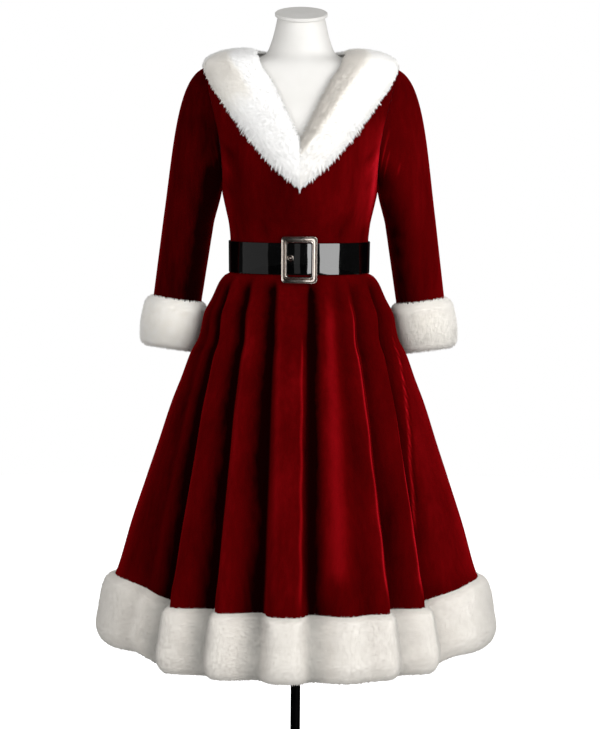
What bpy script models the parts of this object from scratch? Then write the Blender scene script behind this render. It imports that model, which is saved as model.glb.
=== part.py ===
"""A velvet christmas costume dress, worn by a limbless dress form on a pole and a round base.

Metres, +Z up. The front faces -Y and the viewer's right is +X. The origin is at the centre of the base's
underside.
An azimuth is in degrees round the upright axis: 0 at the front, 90 at the viewer's right and 180 at the back.
"""

import math

import bmesh
import bpy
import numpy as np


def table(columns, *rows):
    """A short table whose columns have names. Its first column is the place that the others are read at."""
    return np.array(list(rows), dtype=[(column, float) for column in columns.split()])


# Cloth and the gaps between pieces
CLOTH = 0.0016
SEAM = 0.0003
FORM_CLEARANCE = 0.0022
# Degrees behind the middle plane at which the back pieces start
JUST_BEHIND = 1e-3

# Heights
WAIST_Z = 1.0400
BELT_BOTTOM_Z = 1.0125
BELT_TOP_Z = 1.0675
FOLDS_FULL_Z = 0.950
HEM_SEAM_Z = 0.480
SKIRT_END_Z = 0.374
FORM_BOTTOM_Z = 0.800
NECK_BEND_Z = 1.410

# The outside of the bodice cloth, and above it the neck of the form
BODY = table(
    "z half front back",
    (0.9900, 0.1195, 0.0885, 0.0885),
    (1.0125, 0.1198, 0.0885, 0.0885),
    (1.0400, 0.1200, 0.0890, 0.0885),
    (1.0680, 0.1206, 0.0915, 0.0885),
    (1.0960, 0.1234, 0.1005, 0.0905),
    (1.1240, 0.1295, 0.1130, 0.0950),
    (1.1520, 0.1356, 0.1195, 0.1000),
    (1.1800, 0.1400, 0.1215, 0.1035),
    (1.2200, 0.1480, 0.1180, 0.1060),
    (1.2600, 0.1565, 0.1100, 0.1060),
    (1.3000, 0.1650, 0.1000, 0.1030),
    (1.3350, 0.1690, 0.0890, 0.0960),
    (1.3520, 0.1665, 0.0820, 0.0900),
    (1.3660, 0.1610, 0.0750, 0.0830),
    (1.3770, 0.1380, 0.0680, 0.0760),
    (1.3840, 0.1080, 0.0620, 0.0690),
    (1.3895, 0.0760, 0.0570, 0.0630),
    (1.3960, 0.0630, 0.0535, 0.0585),
    (1.4100, 0.0565, 0.0510, 0.0550),
    (1.4300, 0.0505, 0.0480, 0.0500),
    (1.4580, 0.0445, 0.0445, 0.0445),
)

# The crests of the skirt's folds. The front stays flat under the buckle before it flares
SKIRT = table(
    "z half front back",
    (0.3400, 0.3450, 0.3450, 0.3450),
    (0.3600, 0.3442, 0.3442, 0.3442),
    (0.4000, 0.3430, 0.3430, 0.3430),
    (0.4400, 0.3410, 0.3400, 0.3410),
    (0.4800, 0.3360, 0.3330, 0.3360),
    (0.5080, 0.3260, 0.3220, 0.3260),
    (0.5780, 0.3045, 0.2990, 0.3035),
    (0.6480, 0.2797, 0.2740, 0.2775),
    (0.7180, 0.2545, 0.2480, 0.2515),
    (0.7880, 0.2302, 0.2200, 0.2235),
    (0.8300, 0.2128, 0.1970, 0.2015),
    (0.8720, 0.1965, 0.1725, 0.1785),
    (0.9000, 0.1810, 0.1555, 0.1610),
    (0.9420, 0.1715, 0.1300, 0.1410),
    (0.9700, 0.1555, 0.1055, 0.1240),
    (0.9840, 0.1475, 0.0935, 0.1150),
    (0.9920, 0.1430, 0.0897, 0.1105),
    (0.9980, 0.1385, 0.0892, 0.1060),
    (1.0040, 0.1335, 0.0888, 0.1010),
    (1.0090, 0.1270, 0.0886, 0.0935),
    (1.0122, 0.1198, 0.0885, 0.0885),
    (1.0500, 0.1198, 0.0885, 0.0885),
)

# The valleys between the folds: azimuth and depth, as a share of the radius, at the waist and at the hem
FOLDS = table(
    "waist hem width waist_depth hem_depth",
    (-101, -99, 8.5, 0.100, 0.160),
    (-71, -58, 3.5, 0.010, 0.050),
    (-59, -47, 4.2, 0.035, 0.150),
    (-37.5, -29.5, 4.0, 0.045, 0.155),
    (-17.5, -12, 4.2, 0.065, 0.165),
    (8.5, 4.7, 3.6, 0.045, 0.130),
    (28, 23, 3.5, 0.030, 0.055),
    (40, 34, 4.2, 0.045, 0.160),
    (60, 49, 4.0, 0.035, 0.140),
    (101, 99, 8.5, 0.100, 0.160),
    (124, 122, 4.5, 0.040, 0.140),
    (141, 139, 4.2, 0.045, 0.155),
    (158, 157, 4.2, 0.040, 0.130),
    (173, 174, 4.0, 0.045, 0.150),
    (190, 191, 4.2, 0.045, 0.140),
    (207, 206, 4.0, 0.040, 0.155),
    (222, 223, 4.2, 0.045, 0.130),
    (238, 239, 4.5, 0.040, 0.145),
)
FOLD_CORE = 0.75
FOLD_SHOULDER_WIDTH = 2.6

# The hem band of fur: how far it stands out from the crests, how much of each valley it follows, how far it
# dips at the front, and the azimuth where the dip ends at the sides, with the degrees that it fades over
HEM = table(
    "z out follow dip end run",
    (0.4880, 0.0035, 1.00, 0.030, 68, 26),
    (0.4825, 0.0150, 0.92, 0.030, 68, 26),
    (0.4640, 0.0180, 0.76, 0.028, 66, 24),
    (0.4310, 0.0195, 0.66, 0.024, 63, 20),
    (0.4010, 0.0225, 0.62, 0.021, 60, 16),
    (0.3810, 0.0165, 0.63, 0.021, 58, 14),
    (0.3710, 0.0055, 0.68, 0.021, 58, 14),
)

# Armhole: an oval on the side of the bodice
ARMHOLE_Z = 1.260
ARMHOLE_HALF_HEIGHT = 0.108
ARMHOLE_TURN = 24.0
UNDERARM_Z = ARMHOLE_Z - ARMHOLE_HALF_HEIGHT

# Neck edge of the bodice, under the collar
NECK_SIDE_Z = 1.387
BACK_NECK_Z = 1.375
UPPER_ROWS = 12
BACK_NECK_ROW = 8

# Sleeve: the arm's centre line, and its ring at the upper arm and at the wrist
ARM_TOP = (0.1868, 0.003, 1.152)
ARM_SLOPE = (0.144, 0.130)
# The way from the middle of each ring to its front, which is nearly level
ARM_FRONT = (0, -1, 0.05)
UPPER_ARM_Z = 1.100
WRIST_Z = 0.881
UPPER_ARM_HALF = (0.0443, 0.0500)
WRIST_HALF = (0.0415, 0.0440)
# How the sleeve leaves the armhole under the arm and on top, and how far that reaches at both its ends
LEAVE_UNDER = (0.15, 0, -1)
LEAVE_TOP = (1, 0, -0.05)
LEAVE_REACH = (0.018, 0.055)
ARRIVE_REACH = (0.015, 0.120)

# The cuff of fur along the arm: height of its centre line, and how far it stands out from the sleeve
CUFF = table(
    "z out",
    (0.9600, 0.0020),
    (0.9575, 0.0095),
    (0.9450, 0.0150),
    (0.9130, 0.0170),
    (0.8860, 0.0145),
    (0.8785, 0.0090),
    (0.8770, 0.0020),
)

# The collar from the centre front over the shoulder to the centre back: azimuth and height of both its edges,
# how thick it is, and how far it stands off the rounding shoulder
COLLAR = table(
    "place inner inner_z outer outer_z thick seat",
    (0.00, 0.0, 1.241, 0.0, 1.162, 0.015, 0.0003),
    (0.14, 5.5, 1.275, 20.0, 1.205, 0.017, 0.0005),
    (0.28, 10.5, 1.310, 38.5, 1.262, 0.018, 0.0007),
    (0.42, 18.0, 1.352, 57.0, 1.320, 0.020, 0.0012),
    (0.54, 31.0, 1.380, 74.0, 1.353, 0.018, 0.0022),
    (0.64, 68.0, 1.389, 90.0, 1.369, 0.017, 0.0034),
    (0.76, 112.0, 1.390, 119.0, 1.345, 0.020, 0.0044),
    (0.88, 148.0, 1.390, 150.0, 1.306, 0.019, 0.0030),
    (1.00, 180.0, 1.390, 180.0, 1.285, 0.018, 0.0008),
)

COLLAR_EDGE = 0.002

# Belt and buckle
BELT_THICKNESS = 0.003
BELT_CHAMFER = 0.0006
BUCKLE_HALF = (0.0308, 0.0412)
WINDOW_HALF = (0.0210, 0.0290)
BUCKLE_Z = WAIST_Z - 0.0010
BUCKLE_CORNER = 0.006
WINDOW_CORNER = 0.004
# Across a bar of the buckle, from its outer edge to its window: height over the belt
BUCKLE_SECTION = table(
    "across height",
    (0.00, 0.0000),
    (0.02, 0.0032),
    (0.18, 0.0052),
    (0.36, 0.0048),
    (0.50, 0.0030),
    (0.66, 0.0040),
    (0.82, 0.0044),
    (0.98, 0.0026),
    (1.00, 0.0000),
)
EYELET_X = -0.0150
EYELET_Z = 1.0420
EYELET_RADIUS = 0.0056
EYELET_WIRE = 0.0012
PEG = table(
    "height reach",
    (0.0000, 0.0024),
    (0.0012, 0.0030),
    (0.0030, 0.0030),
    (0.0042, 0.0022),
    (0.0047, 0.0009),
)

# Rows and columns of the grids
LOW_BODICE_ROWS = 5
PANEL_COLUMNS = 9
SLEEVE_COLUMNS = 18
# The inside of the sleeve starts this far along it, so that its normal can be taken there
SLEEVE_START = 2e-4
SLEEVE_ROWS = (0, 0.15, 0.3, 0.45, 0.6, 0.8, 1, 1.35, 1.7, 2)
COLLAR_ROWS = 17
COLLAR_ACROSS = (0, 0.07, 0.2, 0.35, 0.5, 0.65, 0.8, 0.93, 1)
SKIRT_COLUMNS = 49
SKIRT_TOP_ROWS = (WAIST_Z - SEAM / 2, 1.0122, 1.007, 0.990, 0.95)
SKIRT_LOW_ROWS = (0.885, 0.8, 0.7, 0.59, 0.488, 0.425, SKIRT_END_Z)
BELT_COLUMNS = 72
CORNER_POINTS = 4
SIDE_POINTS = 3
EYELET_COLUMNS = 14
EYELET_SIDES = 6
FORM_COLUMNS = 32
FORM_TORSO_ROWS = (1.0, 1.04, 1.075, 1.11, 1.15, 1.2, 1.25, 1.3, 1.335, 1.355, 1.37)
FORM_NECK_ROWS = (1.379, 1.386, 1.392, 1.4, 1.412, 1.43, 1.457)

# The form under the dress below the waist
HIPS = table(
    "z half front back",
    (0.8000, 0.1290, 0.0860, 0.0960),
    (0.8060, 0.1380, 0.0920, 0.1030),
    (0.8250, 0.1450, 0.0970, 0.1100),
    (0.8750, 0.1470, 0.0990, 0.1120),
    (0.9400, 0.1370, 0.0900, 0.1040),
)
CAP_TILT = math.radians(16)
CAP = table(
    "z radius",
    (0.0000, 0.0444),
    (0.0008, 0.0456),
    (0.0050, 0.0458),
    (0.0060, 0.0446),
)
POLE_RADIUS = 0.0087
BASE = table(
    "z radius",
    (0.0000, 0.1880),
    (0.0025, 0.1900),
    (0.0080, 0.1895),
    (0.0120, 0.1600),
    (0.0150, 0.0400),
    (0.0320, 0.0250),
    (0.0340, 0.0230),
)

# Surface colour (linear), roughness and metallic value
FINISHES = {
    "red_velvet": ((0.085, 0.0012, 0.002), 0.75, 0.0),
    "white_fur": ((0.82, 0.79, 0.73), 0.95, 0.0),
    "patent_black": ((0.006, 0.006, 0.006), 0.12, 0.0),
    "polished_nickel": ((0.72, 0.69, 0.63), 0.14, 1.0),
    "form_white": ((0.80, 0.79, 0.76), 0.55, 0.0),
    "black_paint": ((0.008, 0.008, 0.008), 0.35, 0.0),
}


def read(rows, column, at):
    """The column's value at any place: a cubic through the rows that never swings past them."""
    order = np.argsort(rows[rows.dtype.names[0]])
    knots = rows[rows.dtype.names[0]][order]
    values = rows[column][order]
    steps = np.diff(knots)
    slopes = np.diff(values) / steps
    product = slopes[:-1] * slopes[1:]
    total = np.where(product > 0, slopes[:-1] + slopes[1:], 1.0)
    tangents = np.concatenate([slopes[:1], np.where(product > 0, 2 * product / total, 0), slopes[-1:]])
    at = np.asarray(at, float)
    cell = np.clip(np.searchsorted(knots, at, side="right") - 1, 0, len(steps) - 1)
    u = (at - knots[cell]) / steps[cell]
    start = values[cell] * (1 + 2 * u) * (1 - u) ** 2 + tangents[cell] * steps[cell] * u * (1 - u) ** 2
    return start + values[cell + 1] * u**2 * (3 - 2 * u) - tangents[cell + 1] * steps[cell] * u**2 * (1 - u)


def mix(first, second, share):
    return first + (second - first) * share


def unit(vectors):
    return vectors / np.linalg.norm(vectors, axis=-1, keepdims=True)


def round_the_axis(half, front, back, azimuth, z):
    """An oval at each height. Its front and back halves stand half a seam apart from the middle plane."""
    turn = np.radians(azimuth)
    forward = np.cos(turn) >= 0
    y = np.where(forward, -front, -back) * np.cos(turn) + np.where(forward, -0.5, 0.5) * SEAM
    return np.stack(np.broadcast_arrays(half * np.sin(turn), y, z), axis=-1)


def body(azimuth, z):
    """The outside of the bodice cloth."""
    return round_the_axis(read(BODY, "half", z), read(BODY, "front", z), read(BODY, "back", z), azimuth, z)


def fold_share(azimuth, z, follow=1.0):
    """What the folds leave of the crest's radius: a narrow well with wider shoulders in each valley.

    From the hem up a valley turns towards its place at the waist, slowly at first and most near the belt.
    """
    down = np.clip((BELT_BOTTOM_Z - z) / (BELT_BOTTOM_Z - HEM_SEAM_Z), 0, 1)
    start = np.clip((BELT_BOTTOM_Z - z) / (BELT_BOTTOM_Z - FOLDS_FULL_Z), 0, 1)
    start = start**2 * (3 - 2 * start)
    share = 1.0
    for fold in FOLDS:
        away = (azimuth - mix(fold["hem"], fold["waist"], (1 - down) ** 2) + 180) % 360 - 180
        core = np.exp(-((away / fold["width"]) ** 2) / 2)
        shoulder = np.exp(-((away / (FOLD_SHOULDER_WIDTH * fold["width"])) ** 2) / 2)
        depth = mix(fold["waist_depth"], fold["hem_depth"], down) * start * follow
        share = share - depth * (FOLD_CORE * core + (1 - FOLD_CORE) * shoulder)
    return share


def skirt(azimuth, z):
    """The outside of the skirt cloth."""
    share = fold_share(azimuth, z)
    half, front, back = (read(SKIRT, column, z) * share for column in ("half", "front", "back"))
    return round_the_axis(half, front, back, azimuth, z)


def moved_out(surface, across, along, distance):
    """Points of a surface, moved along its normal."""
    turn, rise = 5e-3, 1e-4
    right = surface(across + turn, along) - surface(across - turn, along)
    up = surface(across, along + rise) - surface(across, along - rise)
    return surface(across, along) + unit(np.cross(right, up)) * np.asarray(distance)[..., None]


def strips(rows, columns, closed=False):
    """Two triangles for each cell of a grid of points, numbered row by row."""
    cells = columns if closed else columns - 1
    row, column = np.meshgrid(np.arange(rows - 1), np.arange(cells), indexing="ij")
    a = row * columns + column
    b = row * columns + (column + 1) % columns
    c, d = b + columns, a + columns
    return np.concatenate([np.stack([a, b, c], -1).reshape(-1, 3), np.stack([a, c, d], -1).reshape(-1, 3)])


def finish(name):
    """The material of that name, made once."""
    if name in bpy.data.materials:
        return bpy.data.materials[name]
    colour, roughness, metallic = FINISHES[name]
    material = bpy.data.materials.new(name)
    material.use_nodes = True
    shader = material.node_tree.nodes["Principled BSDF"]
    shader.inputs["Base Color"].default_value = (*colour, 1)
    shader.inputs["Roughness"].default_value = roughness
    shader.inputs["Metallic"].default_value = metallic
    return material


def add_object(name, points, faces, surface):
    """A closed mesh with its faces turned out."""
    mesh = bpy.data.meshes.new(name)
    mesh.from_pydata(np.asarray(points).reshape(-1, 3).tolist(), [], [list(map(int, face)) for face in faces])
    editing = bmesh.new()
    editing.from_mesh(mesh)
    loose = [vertex for vertex in editing.verts if not vertex.link_faces]
    bmesh.ops.delete(editing, geom=loose, context="VERTS")
    bmesh.ops.recalc_face_normals(editing, faces=editing.faces)
    editing.to_mesh(mesh)
    editing.free()
    mesh.shade_smooth()
    mesh.set_sharp_from_angle(angle=math.radians(50))
    mesh.materials.append(finish(surface))
    made = bpy.data.objects.new(name, mesh)
    bpy.context.scene.collection.objects.link(made)
    return made


def wall(name, outer, inner, faces, surface):
    """A solid between two skins with the same faces, closed by a rim along every free edge."""
    outer, inner = outer.reshape(-1, 3), inner.reshape(-1, 3)
    count = len(outer)
    points = np.concatenate([outer, inner])
    edges = np.concatenate([faces[:, [0, 1]], faces[:, [1, 2]], faces[:, [2, 0]]])
    _, first, uses = np.unique(np.sort(edges, axis=1), axis=0, return_index=True, return_counts=True)
    a, b = edges[first[uses == 1]].T
    rim = np.concatenate([np.stack([b, a, a + count], -1), np.stack([b, a + count, b + count], -1)])
    return add_object(name, points, np.concatenate([faces, faces[:, ::-1] + count, rim]), surface)


def loft(name, rings, surface):
    """A solid skinned over closed rings, with a flat cap on the first and the last."""
    rings = np.asarray(rings)
    rows, columns = rings.shape[:2]
    caps = [np.arange(columns), np.arange(columns) + (rows - 1) * columns]
    return add_object(name, rings, [*strips(rows, columns, closed=True), *caps], surface)


def turned(name, profile, columns, surface):
    """A profile of heights and radii, turned about Z."""
    turn = np.linspace(0, 2 * math.pi, columns, endpoint=False)
    radius, z = profile["radius"][:, None], profile["z"][:, None]
    rings = np.stack(np.broadcast_arrays(radius * np.cos(turn), radius * np.sin(turn), z), axis=-1)
    return loft(name, rings, surface)


def bodice_panel(name, inner_azimuth, inner_z, outer_azimuth, outer_z, split_row):
    """Both halves of a panel, joined at the centre up to the row where the neck edge parts them."""
    columns = PANEL_COLUMNS
    share = np.linspace(0, 1, columns)
    azimuth = mix(inner_azimuth[:, None], outer_azimuth[:, None], share)
    z = mix(inner_z[:, None], outer_z[:, None], share)
    outer = body(azimuth, z)
    inner = moved_out(body, azimuth, z, -CLOTH + 0 * z)
    rows = len(outer)
    joined = np.arange(rows * columns)
    joined[: (split_row + 1) * columns : columns] -= rows * columns
    faces = strips(rows, columns)
    mirrored = (joined + rows * columns)[faces][:, ::-1]
    mirror = np.array([-1, 1, 1])
    outer = np.concatenate([outer.reshape(-1, 3), outer.reshape(-1, 3) * mirror])
    inner = np.concatenate([inner.reshape(-1, 3), inner.reshape(-1, 3) * mirror])
    on_centre = np.arange(0, (split_row + 1) * columns, columns)
    inner[on_centre, 0] = 0
    return wall(name, outer, inner, np.concatenate([faces, mirrored]), "red_velvet")


def armhole(turn):
    """Azimuth and height of the armhole's front edge. The turn is 0 at the shoulder and 180 under the arm."""
    radians = np.radians(turn)
    return 90 - ARMHOLE_TURN * np.sin(radians), ARMHOLE_Z + ARMHOLE_HALF_HEIGHT * np.cos(radians)


def make_bodice():
    low_z = np.linspace(BELT_TOP_Z, UNDERARM_Z, LOW_BODICE_ROWS)[:-1]
    low_z = np.append(WAIST_Z + SEAM / 2, low_z)
    climb = np.arange(UPPER_ROWS + 1) / UPPER_ROWS
    edge_azimuth, edge_z = armhole(180 * (1 - climb))
    outer_z = np.concatenate([low_z, edge_z])
    # Front: the neck edge parts from the centre at the second upper row and runs out to the shoulder seam
    inner_z = mix(UNDERARM_Z, NECK_SIDE_Z, np.sin(climb * math.pi / 2))
    parted = np.clip((inner_z - inner_z[1]) / (NECK_SIDE_Z - inner_z[1]), 0, 1)
    reach = parted * read(BODY, "half", NECK_SIDE_Z)
    neck_azimuth = np.degrees(np.arcsin(np.clip(reach / read(BODY, "half", inner_z), 0, 1)))
    bodice_panel(
        "bodice_front",
        np.concatenate([0 * low_z, neck_azimuth]),
        np.concatenate([low_z, inner_z]),
        np.concatenate([0 * low_z + 90, edge_azimuth]),
        outer_z,
        len(low_z) + 1,
    )
    # Back: the centre runs up to the neck, and the last rows turn along the neck edge
    past = np.clip((climb * UPPER_ROWS - BACK_NECK_ROW) / (UPPER_ROWS - BACK_NECK_ROW), 0, 1)
    rise = np.clip(climb * UPPER_ROWS / BACK_NECK_ROW, 0, 1)
    back_z = mix(UNDERARM_Z, BACK_NECK_Z, rise) + (NECK_SIDE_Z - BACK_NECK_Z) * past
    bodice_panel(
        "bodice_back",
        np.concatenate([0 * low_z + 180, 180 - (90 - JUST_BEHIND) * past]),
        np.concatenate([low_z, back_z]),
        np.concatenate([0 * low_z + 90, 180 - edge_azimuth]) + JUST_BEHIND,
        outer_z,
        len(low_z) + BACK_NECK_ROW,
    )


def arm_ring(turn, z):
    """An oval across the arm. The turn is 0 on its outer side and 90 at the front."""
    down = (UPPER_ARM_Z - z) / (UPPER_ARM_Z - WRIST_Z)
    fall = ARM_TOP[2] - z
    centre = np.stack([ARM_TOP[0] + ARM_SLOPE[0] * fall, ARM_TOP[1] + ARM_SLOPE[1] * fall, z], axis=-1)
    axis = unit(np.array([ARM_SLOPE[0], ARM_SLOPE[1], -1]))
    outward = unit(np.array([1, 0, 0]) - axis[0] * axis)
    forward = unit(np.array(ARM_FRONT))
    half = mix(UPPER_ARM_HALF[0], WRIST_HALF[0], down)[..., None]
    deep = mix(UPPER_ARM_HALF[1], WRIST_HALF[1], down)[..., None]
    return centre + half * np.cos(turn)[..., None] * outward + deep * np.sin(turn)[..., None] * forward


def sleeve(turn, along):
    """The outside of the right sleeve.

    From 0 to 1 a cubic leads from the armhole to the upper arm: flat out from the shoulder on top, and
    straight down under the arm. From 1 to 2 the ovals run down the arm.
    """
    turn, along = np.broadcast_arrays(np.asarray(turn, float), np.asarray(along, float))
    radians = np.radians(turn)
    front_azimuth, z = armhole(turn)
    start = moved_out(body, front_azimuth, z, 2 * SEAM + 0 * z)
    top = ((1 + np.cos(radians)) / 2)[..., None]
    leave = unit(mix(np.array(LEAVE_UNDER), np.array(LEAVE_TOP), top)) * mix(*LEAVE_REACH, top)
    end = arm_ring(radians, np.full(turn.shape, UPPER_ARM_Z))
    arrive = unit(np.array([ARM_SLOPE[0], ARM_SLOPE[1], -1])) * mix(*ARRIVE_REACH, top)
    t = np.clip(along, 0, 1)[..., None]
    head = start * (1 - t) ** 3 + 3 * (start + leave) * t * (1 - t) ** 2
    head = head + 3 * (end - arrive) * t**2 * (1 - t) + end * t**3
    arm = arm_ring(radians, mix(UPPER_ARM_Z, WRIST_Z, np.clip(along - 1, -1, None)))
    return np.where(along[..., None] <= 1, head, arm)


def make_sleeves():
    turn = np.arange(SLEEVE_COLUMNS) * 360 / SLEEVE_COLUMNS
    along = np.array(SLEEVE_ROWS)[:, None]
    outer = sleeve(turn, along)
    inner = moved_out(sleeve, turn, np.maximum(along, SLEEVE_START), -CLOTH + 0 * outer[..., 0])
    cuff_along = 1 + (UPPER_ARM_Z - CUFF["z"][:, None]) / (UPPER_ARM_Z - WRIST_Z)
    cuff_outer = moved_out(sleeve, turn, cuff_along, CUFF["out"][:, None] + SEAM + 0 * turn)
    cuff_inner = moved_out(sleeve, turn, cuff_along, SEAM + 0 * cuff_along + 0 * turn)
    for side, mirror in (("right", 1), ("left", -1)):
        flip = np.array([mirror, 1, 1])
        faces = strips(*outer.shape[:2], closed=True)
        wall(f"sleeve_{side}", outer * flip, inner * flip, faces, "red_velvet")
        faces = strips(*cuff_outer.shape[:2], closed=True)
        wall(f"cuff_{side}", cuff_outer * flip, cuff_inner * flip, faces, "white_fur")


def make_collar():
    """Each half is a fur band that swells from thin edges, laid on the bodice and round the neck."""
    place = np.linspace(0, 1, COLLAR_ROWS)[:, None]
    across = np.array(COLLAR_ACROSS)
    azimuth = mix(read(COLLAR, "inner", place), read(COLLAR, "outer", place), across)
    z = mix(read(COLLAR, "inner_z", place), read(COLLAR, "outer_z", place), across)
    under = moved_out(body, azimuth, z, read(COLLAR, "seat", place) + 0 * z)
    normal = unit(moved_out(body, azimuth, z, 1 + 0 * z) - body(azimuth, z))
    outward = unit(normal + normal[:, -1:])
    swell = np.sqrt(1 - np.abs(2 * across - 1) ** 3)
    thick = mix(COLLAR_EDGE, read(COLLAR, "thick", place), swell)
    over = under + outward * thick[..., None]
    under[[0, -1], :, 0] = over[[0, -1], :, 0] = SEAM / 2
    for side, mirror in (("right", 1), ("left", -1)):
        flip = np.array([mirror, 1, 1])
        wall(f"collar_{side}", over * flip, under * flip, strips(*over.shape[:2]), "white_fur")


def make_skirt():
    """The front and back of the skirt, and on each the half of the hem band that is sewn to it."""
    heights = np.array(SKIRT_TOP_ROWS + SKIRT_LOW_ROWS)[:, None]
    hem_z = HEM["z"][:, None]
    out = HEM["out"][:, None]
    for half, start, end in (("front", -90, 90), ("back", 90 + JUST_BEHIND, 270 - JUST_BEHIND)):
        azimuth = np.linspace(start, end, SKIRT_COLUMNS)
        outer = skirt(azimuth, heights)
        inner = moved_out(skirt, azimuth, heights, -CLOTH + 0 * outer[..., 0])
        wall(f"skirt_{half}", outer, inner, strips(*outer.shape[:2]), "red_velvet")
        dipped = np.clip((HEM["end"][:, None] - np.abs(azimuth)) / HEM["run"][:, None], 0, 1)
        dipped_z = hem_z - HEM["dip"][:, None] * dipped**2 * (3 - 2 * dipped)
        share = fold_share(azimuth, dipped_z, HEM["follow"][:, None])
        reach = ((read(SKIRT, column, dipped_z) + out) * share for column in ("half", "front", "back"))
        fur = round_the_axis(*reach, azimuth, dipped_z)
        seat = moved_out(skirt, azimuth, dipped_z, SEAM + 0 * share)
        wall(f"hem_{half}", fur, seat, strips(*fur.shape[:2]), "white_fur")


def belt_seat(azimuth, z):
    """What the belt lies on: straight from the oval at its lower edge to the one at its upper edge."""
    up = (z - BELT_BOTTOM_Z) / (BELT_TOP_Z - BELT_BOTTOM_Z)
    lower, upper = body(azimuth, BELT_BOTTOM_Z + 0 * z), body(azimuth, BELT_TOP_Z + 0 * z)
    return mix(lower, upper, np.broadcast_to(up, lower.shape[:-1])[..., None])


def on_belt(x, z, out):
    """A point on the belt's face at x and z, and as far off it as the piece stands out."""
    half = read(BODY, "half", WAIST_Z) + BELT_THICKNESS + SEAM
    azimuth = np.degrees(np.arcsin(np.clip(x / half, -1, 1)))
    return moved_out(belt_seat, azimuth, z, BELT_THICKNESS + 2 * SEAM + out)


def make_belt():
    azimuth = (np.arange(BELT_COLUMNS) + 0.5) * 360 / BELT_COLUMNS - 90
    low, high = BELT_BOTTOM_Z, BELT_TOP_Z
    z = np.array([low, low + BELT_CHAMFER, high - BELT_CHAMFER, high])[:, None]
    out = np.array([0, BELT_THICKNESS, BELT_THICKNESS, 0])[:, None]
    rings = moved_out(belt_seat, azimuth, z, out + SEAM + 0 * azimuth)
    faces = strips(len(z) + 1, len(azimuth), closed=True) % rings[..., 0].size
    add_object("belt", rings, faces, "patent_black")


def rounded_rectangle(half, corner):
    """Points round a rectangle with round corners, at the same share of each side and corner for any size."""
    quarter = np.linspace(0, math.pi / 2, CORNER_POINTS)
    points = []
    for turn in range(4):
        across, up = (half[0], half[1]) if turn % 2 == 0 else (half[1], half[0])
        side = np.linspace(-1, 1, SIDE_POINTS + 2)[1:-1] * (up - corner)
        straight = np.stack([np.full(SIDE_POINTS, across), side], -1)
        bend = corner * np.stack([np.cos(quarter), np.sin(quarter)], -1) + (across - corner, up - corner)
        cos, sin = round(math.cos(turn * math.pi / 2)), round(math.sin(turn * math.pi / 2))
        points.append(np.concatenate([straight, bend]) @ np.array([[cos, sin], [-sin, cos]]))
    return np.concatenate(points)


def make_buckle():
    """A frame with two ridges, bent to the belt."""
    outside = rounded_rectangle(BUCKLE_HALF, BUCKLE_CORNER)
    window = rounded_rectangle(WINDOW_HALF, WINDOW_CORNER)
    flat = mix(outside, window, BUCKLE_SECTION["across"][:, None, None])
    x, z = flat[..., 0], flat[..., 1] + BUCKLE_Z
    rings = on_belt(x, z, BUCKLE_SECTION["height"][:, None] + 0 * x)
    faces = strips(len(rings) + 1, len(outside), closed=True) % rings[..., 0].size
    add_object("buckle_frame", rings, faces, "polished_nickel")


def make_eyelet():
    """A ring set on the belt inside the buckle, and the buckle's peg through it."""
    around = np.linspace(0, 2 * math.pi, EYELET_COLUMNS, endpoint=False)
    section = np.linspace(0, 2 * math.pi, EYELET_SIDES, endpoint=False)[:, None]
    radius = EYELET_RADIUS - EYELET_WIRE + EYELET_WIRE * np.cos(section)
    lift = EYELET_WIRE * (1 + np.sin(section)) + 0 * around
    rings = on_belt(EYELET_X + radius * np.cos(around), EYELET_Z + radius * np.sin(around), lift)
    faces = strips(len(section) + 1, len(around), closed=True) % rings[..., 0].size
    add_object("eyelet", rings, faces, "polished_nickel")
    reach = PEG["reach"][:, None]
    x, z = EYELET_X + reach * np.cos(around), EYELET_Z + reach * np.sin(around)
    loft("peg", on_belt(x, z, PEG["height"][:, None] + 0 * x), "polished_nickel")


def make_form():
    """The limbless form that the dress rests on, just clear of the cloth, with its neck cut on a slant."""
    azimuth = (np.arange(FORM_COLUMNS) + 0.5) * 360 / FORM_COLUMNS
    hips = [round_the_axis(row["half"], row["front"], row["back"], azimuth, row["z"]) for row in HIPS]
    inside = np.array(FORM_TORSO_ROWS + FORM_NECK_ROWS)[:, None]
    torso = moved_out(body, azimuth, inside, -(CLOTH + FORM_CLEARANCE) + 0 * azimuth + 0 * inside)
    torso[-1, :, 2] = inside[-1]
    slant = np.clip((inside - NECK_BEND_Z) / (inside[-1] - NECK_BEND_Z), 0, 1)
    torso[..., 2] += slant * torso[..., 1] * math.tan(CAP_TILT)
    loft("form_body", [*hips, *torso], "form_white")
    cap = turned("form_neck_cap", CAP, 28, "form_white")
    cap.location = (0, 0, float(inside[-1, 0]) + 2 * SEAM)
    cap.rotation_euler = (CAP_TILT, 0, 0)


def make_stand():
    turned("stand_base", BASE, 36, "black_paint")
    pole = table("z radius", (BASE["z"][-1] + SEAM, POLE_RADIUS), (FORM_BOTTOM_Z - SEAM, POLE_RADIUS))
    turned("stand_pole", pole, 20, "black_paint")


def main():
    for old in list(bpy.data.objects):
        bpy.data.objects.remove(old)
    make_bodice()
    make_sleeves()
    make_collar()
    make_skirt()
    make_belt()
    make_buckle()
    make_eyelet()
    make_form()
    make_stand()


main()
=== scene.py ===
"""Looks of a velvet christmas costume dress with fur trims and a patent belt, worn by a white dress form.

Metres, +Z up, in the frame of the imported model. The front faces -Y and the viewer's right is +X. An azimuth
is in degrees round the upright axis: 0 at the front, 90 at the viewer's right and 180 at the back.
"""

import math

import bpy
import numpy as np
from mathutils import Matrix, Vector


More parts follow.
